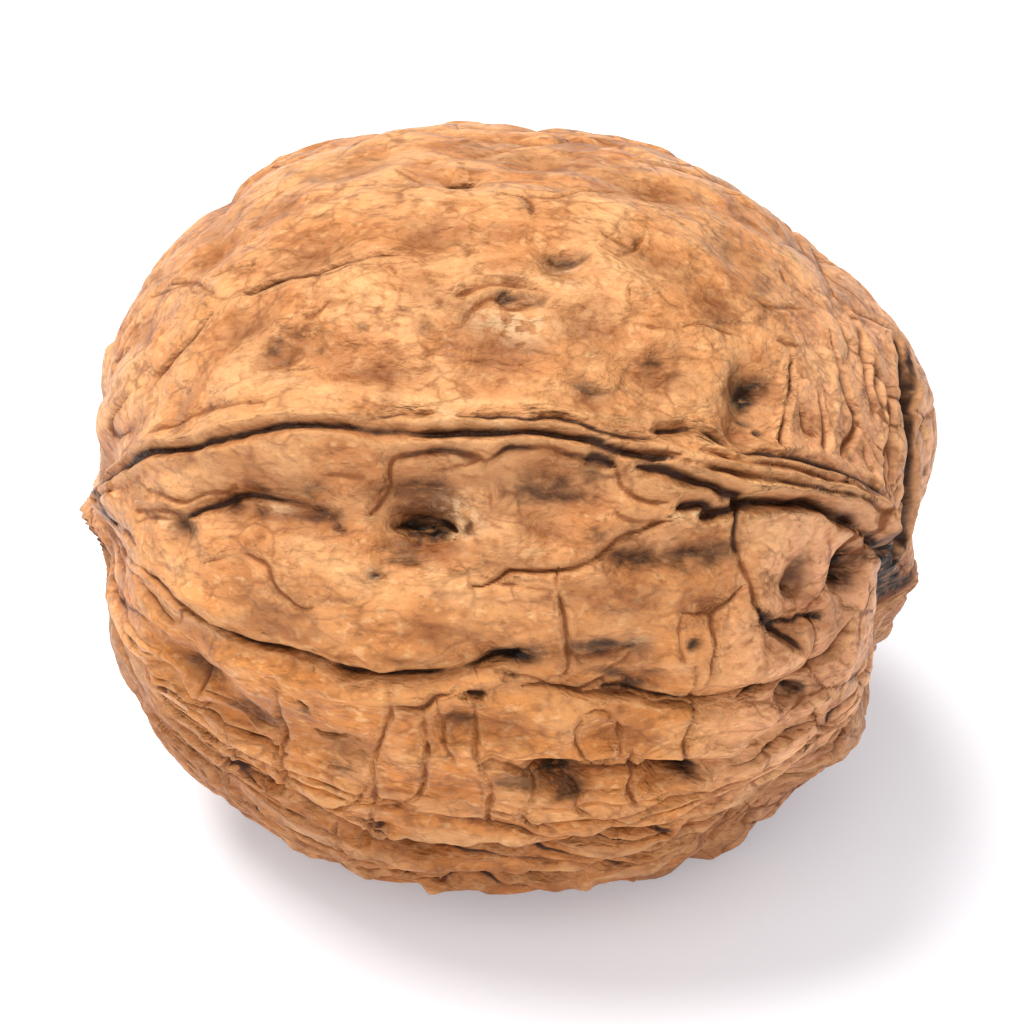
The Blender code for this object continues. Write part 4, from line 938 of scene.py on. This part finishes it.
def shell_finish():
    material = bpy.data.materials.new("walnut_shell")
    material.use_nodes = True
    nodes = material.node_tree.nodes
    links = material.node_tree.links
    shader = nodes["Principled BSDF"]
    place = nodes.new("ShaderNodeTexCoord").outputs["Object"]

    def mark(name):
        node = nodes.new("ShaderNodeAttribute")
        node.attribute_name = name
        return node.outputs["Fac"]

    def stretched(length, width):
        node = nodes.new("ShaderNodeMapping")
        node.inputs["Scale"].default_value = (1 / (length * MM), 1 / (width * MM), 1 / (width * MM))
        links.new(place, node.inputs["Vector"])
        return node.outputs["Vector"]

    def between(value, low, high):
        node = nodes.new("ShaderNodeMapRange")
        node.interpolation_type = "SMOOTHSTEP"
        node.inputs["From Min"].default_value = low
        node.inputs["From Max"].default_value = high
        links.new(value, node.inputs["Value"])
        return node.outputs["Result"]

    def noise(vector, detail, low, high):
        node = nodes.new("ShaderNodeTexNoise")
        node.inputs["Scale"].default_value = 1.0
        node.inputs["Detail"].default_value = detail
        links.new(vector, node.inputs["Vector"])
        return between(node.outputs["Fac"], low, high)

    def crackle(vector, width):
        wander = nodes.new("ShaderNodeTexNoise")
        wander.inputs["Scale"].default_value = 1.3
        links.new(vector, wander.inputs["Vector"])
        moved = nodes.new("ShaderNodeVectorMath")
        moved.operation = "MULTIPLY_ADD"
        moved.inputs[1].default_value = (0.7, 0.7, 0.7)
        links.new(wander.outputs["Color"], moved.inputs[0])
        links.new(vector, moved.inputs[2])
        cells = nodes.new("ShaderNodeTexVoronoi")
        cells.feature = "DISTANCE_TO_EDGE"
        cells.inputs["Scale"].default_value = 1.0
        links.new(moved.outputs["Vector"], cells.inputs["Vector"])
        return between(cells.outputs["Distance"], width, 0.0)

    def times(a, b):
        node = nodes.new("ShaderNodeMath")
        node.operation = "MULTIPLY"
        for socket, value in zip(node.inputs, (a, b)):
            if isinstance(value, float):
                socket.default_value = value
            else:
                links.new(value, socket)
        return node.outputs[0]

    def blend(amount, under, over):
        node = nodes.new("ShaderNodeMix")
        node.data_type = "RGBA"
        node.clamp_factor = True
        links.new(amount, node.inputs["Factor"])
        for socket, colour in ((node.inputs["A"], under), (node.inputs["B"], over)):
            if isinstance(colour, tuple):
                socket.default_value = colour
            else:
                links.new(colour, socket)
        return node.outputs["Result"]

    def relief(depth, strength, heights, under):
        node = nodes.new("ShaderNodeBump")
        node.inputs["Strength"].default_value = strength
        node.inputs["Distance"].default_value = depth * MM
        links.new(heights, node.inputs["Height"])
        if under is not None:
            links.new(under.outputs["Normal"], node.inputs["Normal"])
        return node

    fine_cracks = times(crackle(stretched(1.9, 1.3), 0.10), noise(stretched(2.5, 2.0), 2, 0.42, 0.6))
    finest_cracks = times(crackle(stretched(0.9, 0.6), 0.2), noise(stretched(1.7, 1.4), 2, 0.45, 0.65))
    line = times(between(mark("darkness"), 0.0, 0.65), between(mark("vein"), 0.59, 0.88))
    line_brown = blend(between(mark("darkness"), 0.6, 0.95), RED_BROWN, VEIN_BROWN)
    layers = [
        (times(mark("ochre"), 0.85), OCHRE),
        (times(mark("pink"), 0.75), PINK_TAN),
        (times(noise(stretched(2.2, 1.3), 4, 0.5, 0.72), 0.45), WARM_BROWN),
        (times(noise(stretched(0.7, 0.5), 3, 0.5, 0.72), 0.6), WARM_BROWN),
        (times(noise(stretched(0.6, 0.45), 3, 0.46, 0.3), 0.55), PALE_SPECK_AND_HIGHLIGHT_TAN),
        (times(mark("halo"), 0.55), HALO_BROWN),
        # Painted highlight on raised places, then painted shade in hollows, creases, along lines and under
        # the nut.
        (times(mark("painted_highlight"), 0.6), PALE_SPECK_AND_HIGHLIGHT_TAN),
        (times(mark("painted_shade"), 0.85), PAINTED_SHADE_BROWN),
        (times(fine_cracks, 0.4), CRACK_BROWN),
        (times(finest_cracks, 0.3), CRACK_BROWN),
        (times(mark("pale"), noise(stretched(0.6, 0.45), 3, 0.38, 0.58)), CHALK),
        (line, line_brown),
        (times(mark("soot"), noise(stretched(0.5, 0.25), 3, 0.18, 0.5)), SOOT),
    ]
    colour = blend(noise(stretched(4.0, 2.6), 3, 0.38, 0.64), LIGHT_TAN, TAN)
    for amount, over in layers:
        colour = blend(amount, colour, over)
    links.new(colour, shader.inputs["Base Color"])
    shader.inputs["Roughness"].default_value = ROUGHNESS
    shader.inputs["Specular IOR Level"].default_value = DULL_SHINE

    dimples = relief(DIMPLE_DEPTH, 1.0, noise(stretched(2.0, 1.5), 0.5, 0.25, 0.75), None)
    grain = relief(GRAIN_DEPTH, 0.8, noise(stretched(0.8, 0.5), 4, 0.2, 0.8), dimples)
    grooves = relief(GROOVE_DEPTH, 1.0, times(mark("vein"), mark("darkness")), grain)
    grooves.invert = True
    links.new(grooves.outputs["Normal"], shader.inputs["Normal"])
    return material


thinned.materials.append(shell_finish())
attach(shell, "root")
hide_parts("walnut")

# The table
# A plain sheet of white board, cut far wider than the view, that the nut lies on by its own weight.
# It glows a little, so that it comes out nearly white.
TABLE_SIZE = 6.0
TABLE_WHITE = (0.87, 0.89, 0.95, 1)
TABLE_GLOW = (0.85, 0.89, 1.0, 1)
bpy.ops.mesh.primitive_plane_add(size=TABLE_SIZE)
table = bpy.context.object
table.name = "table"
white = bpy.data.materials.new("white_table")
white.use_nodes = True
board = white.node_tree.nodes["Principled BSDF"]
board.inputs["Base Color"].default_value = TABLE_WHITE
board.inputs["Roughness"].default_value = 0.8
board.inputs["Emission Color"].default_value = TABLE_GLOW
board.inputs["Emission Strength"].default_value = 0.24
table.data.materials.append(white)

# The light
# A wide, soft lamp over the nut, toward its tip and a little behind it, a weaker and still wider one in
# front, and a bright, even room. Each lamp has its strength, its spread in degrees and the way it lies in.
LAMPS = {
    "soft_lamp": (3.6, 34, (-0.33, 0.05, 1.0)),
    "front_fill": (1.2, 50, (0.0, -1.0, 1.0)),
}
LAMP_COLOUR = (1.0, 0.965, 0.91)
ROOM_COLOUR = (1.0, 0.99, 0.97, 1)
ROOM_STRENGTH = 0.45
world = bpy.data.worlds.new("bright_room")
bpy.context.scene.world = world
world.use_nodes = True
world.node_tree.nodes["Background"].inputs["Color"].default_value = ROOM_COLOUR
world.node_tree.nodes["Background"].inputs["Strength"].default_value = ROOM_STRENGTH
for name, (strength, spread, toward) in LAMPS.items():
    lamp = bpy.data.lights.new(name, "SUN")
    lamp.energy = strength
    lamp.angle = math.radians(spread)
    lamp.color = LAMP_COLOUR
    lamp_object = bpy.data.objects.new(name, lamp)
    lamp_object.rotation_euler = Vector(toward).to_track_quat("Z", "Y").to_euler()
    bpy.context.scene.collection.objects.link(lamp_object)
bpy.context.scene.view_settings.view_transform = "Standard"

# The camera
# It looks down on the front seam from the photograph's angle, through a long lens, and is closed in on the
# nut, which sits a little left of the middle and above it.
CAMERA_AZIMUTH = math.radians(7.1)
CAMERA_ELEVATION = math.radians(40)
CAMERA_DISTANCE = 0.55
CAMERA_LENS = 412.5
AIM_RIGHT = 0.28 * MM
AIM_DOWN = 1.22 * MM
camera_data = bpy.data.cameras.new("camera")
camera_data.lens = CAMERA_LENS
camera_data.clip_start = 0.01
camera = bpy.data.objects.new("camera", camera_data)
bpy.context.scene.collection.objects.link(camera)
back = Vector((math.sin(CAMERA_AZIMUTH) * math.cos(CAMERA_ELEVATION),
               -math.cos(CAMERA_AZIMUTH) * math.cos(CAMERA_ELEVATION), math.sin(CAMERA_ELEVATION)))
rightward = Vector((math.cos(CAMERA_AZIMUTH), math.sin(CAMERA_AZIMUTH), 0))
upward_view = back.cross(rightward)
nut_middle = (Vector(cad_box[0]) + Vector(cad_box[1])) / 2
aim = nut_middle + rightward * AIM_RIGHT - upward_view * AIM_DOWN
camera.location = aim + back * CAMERA_DISTANCE
camera.rotation_euler = back.to_track_quat("Z", "Y").to_euler()
bpy.context.scene.camera = camera
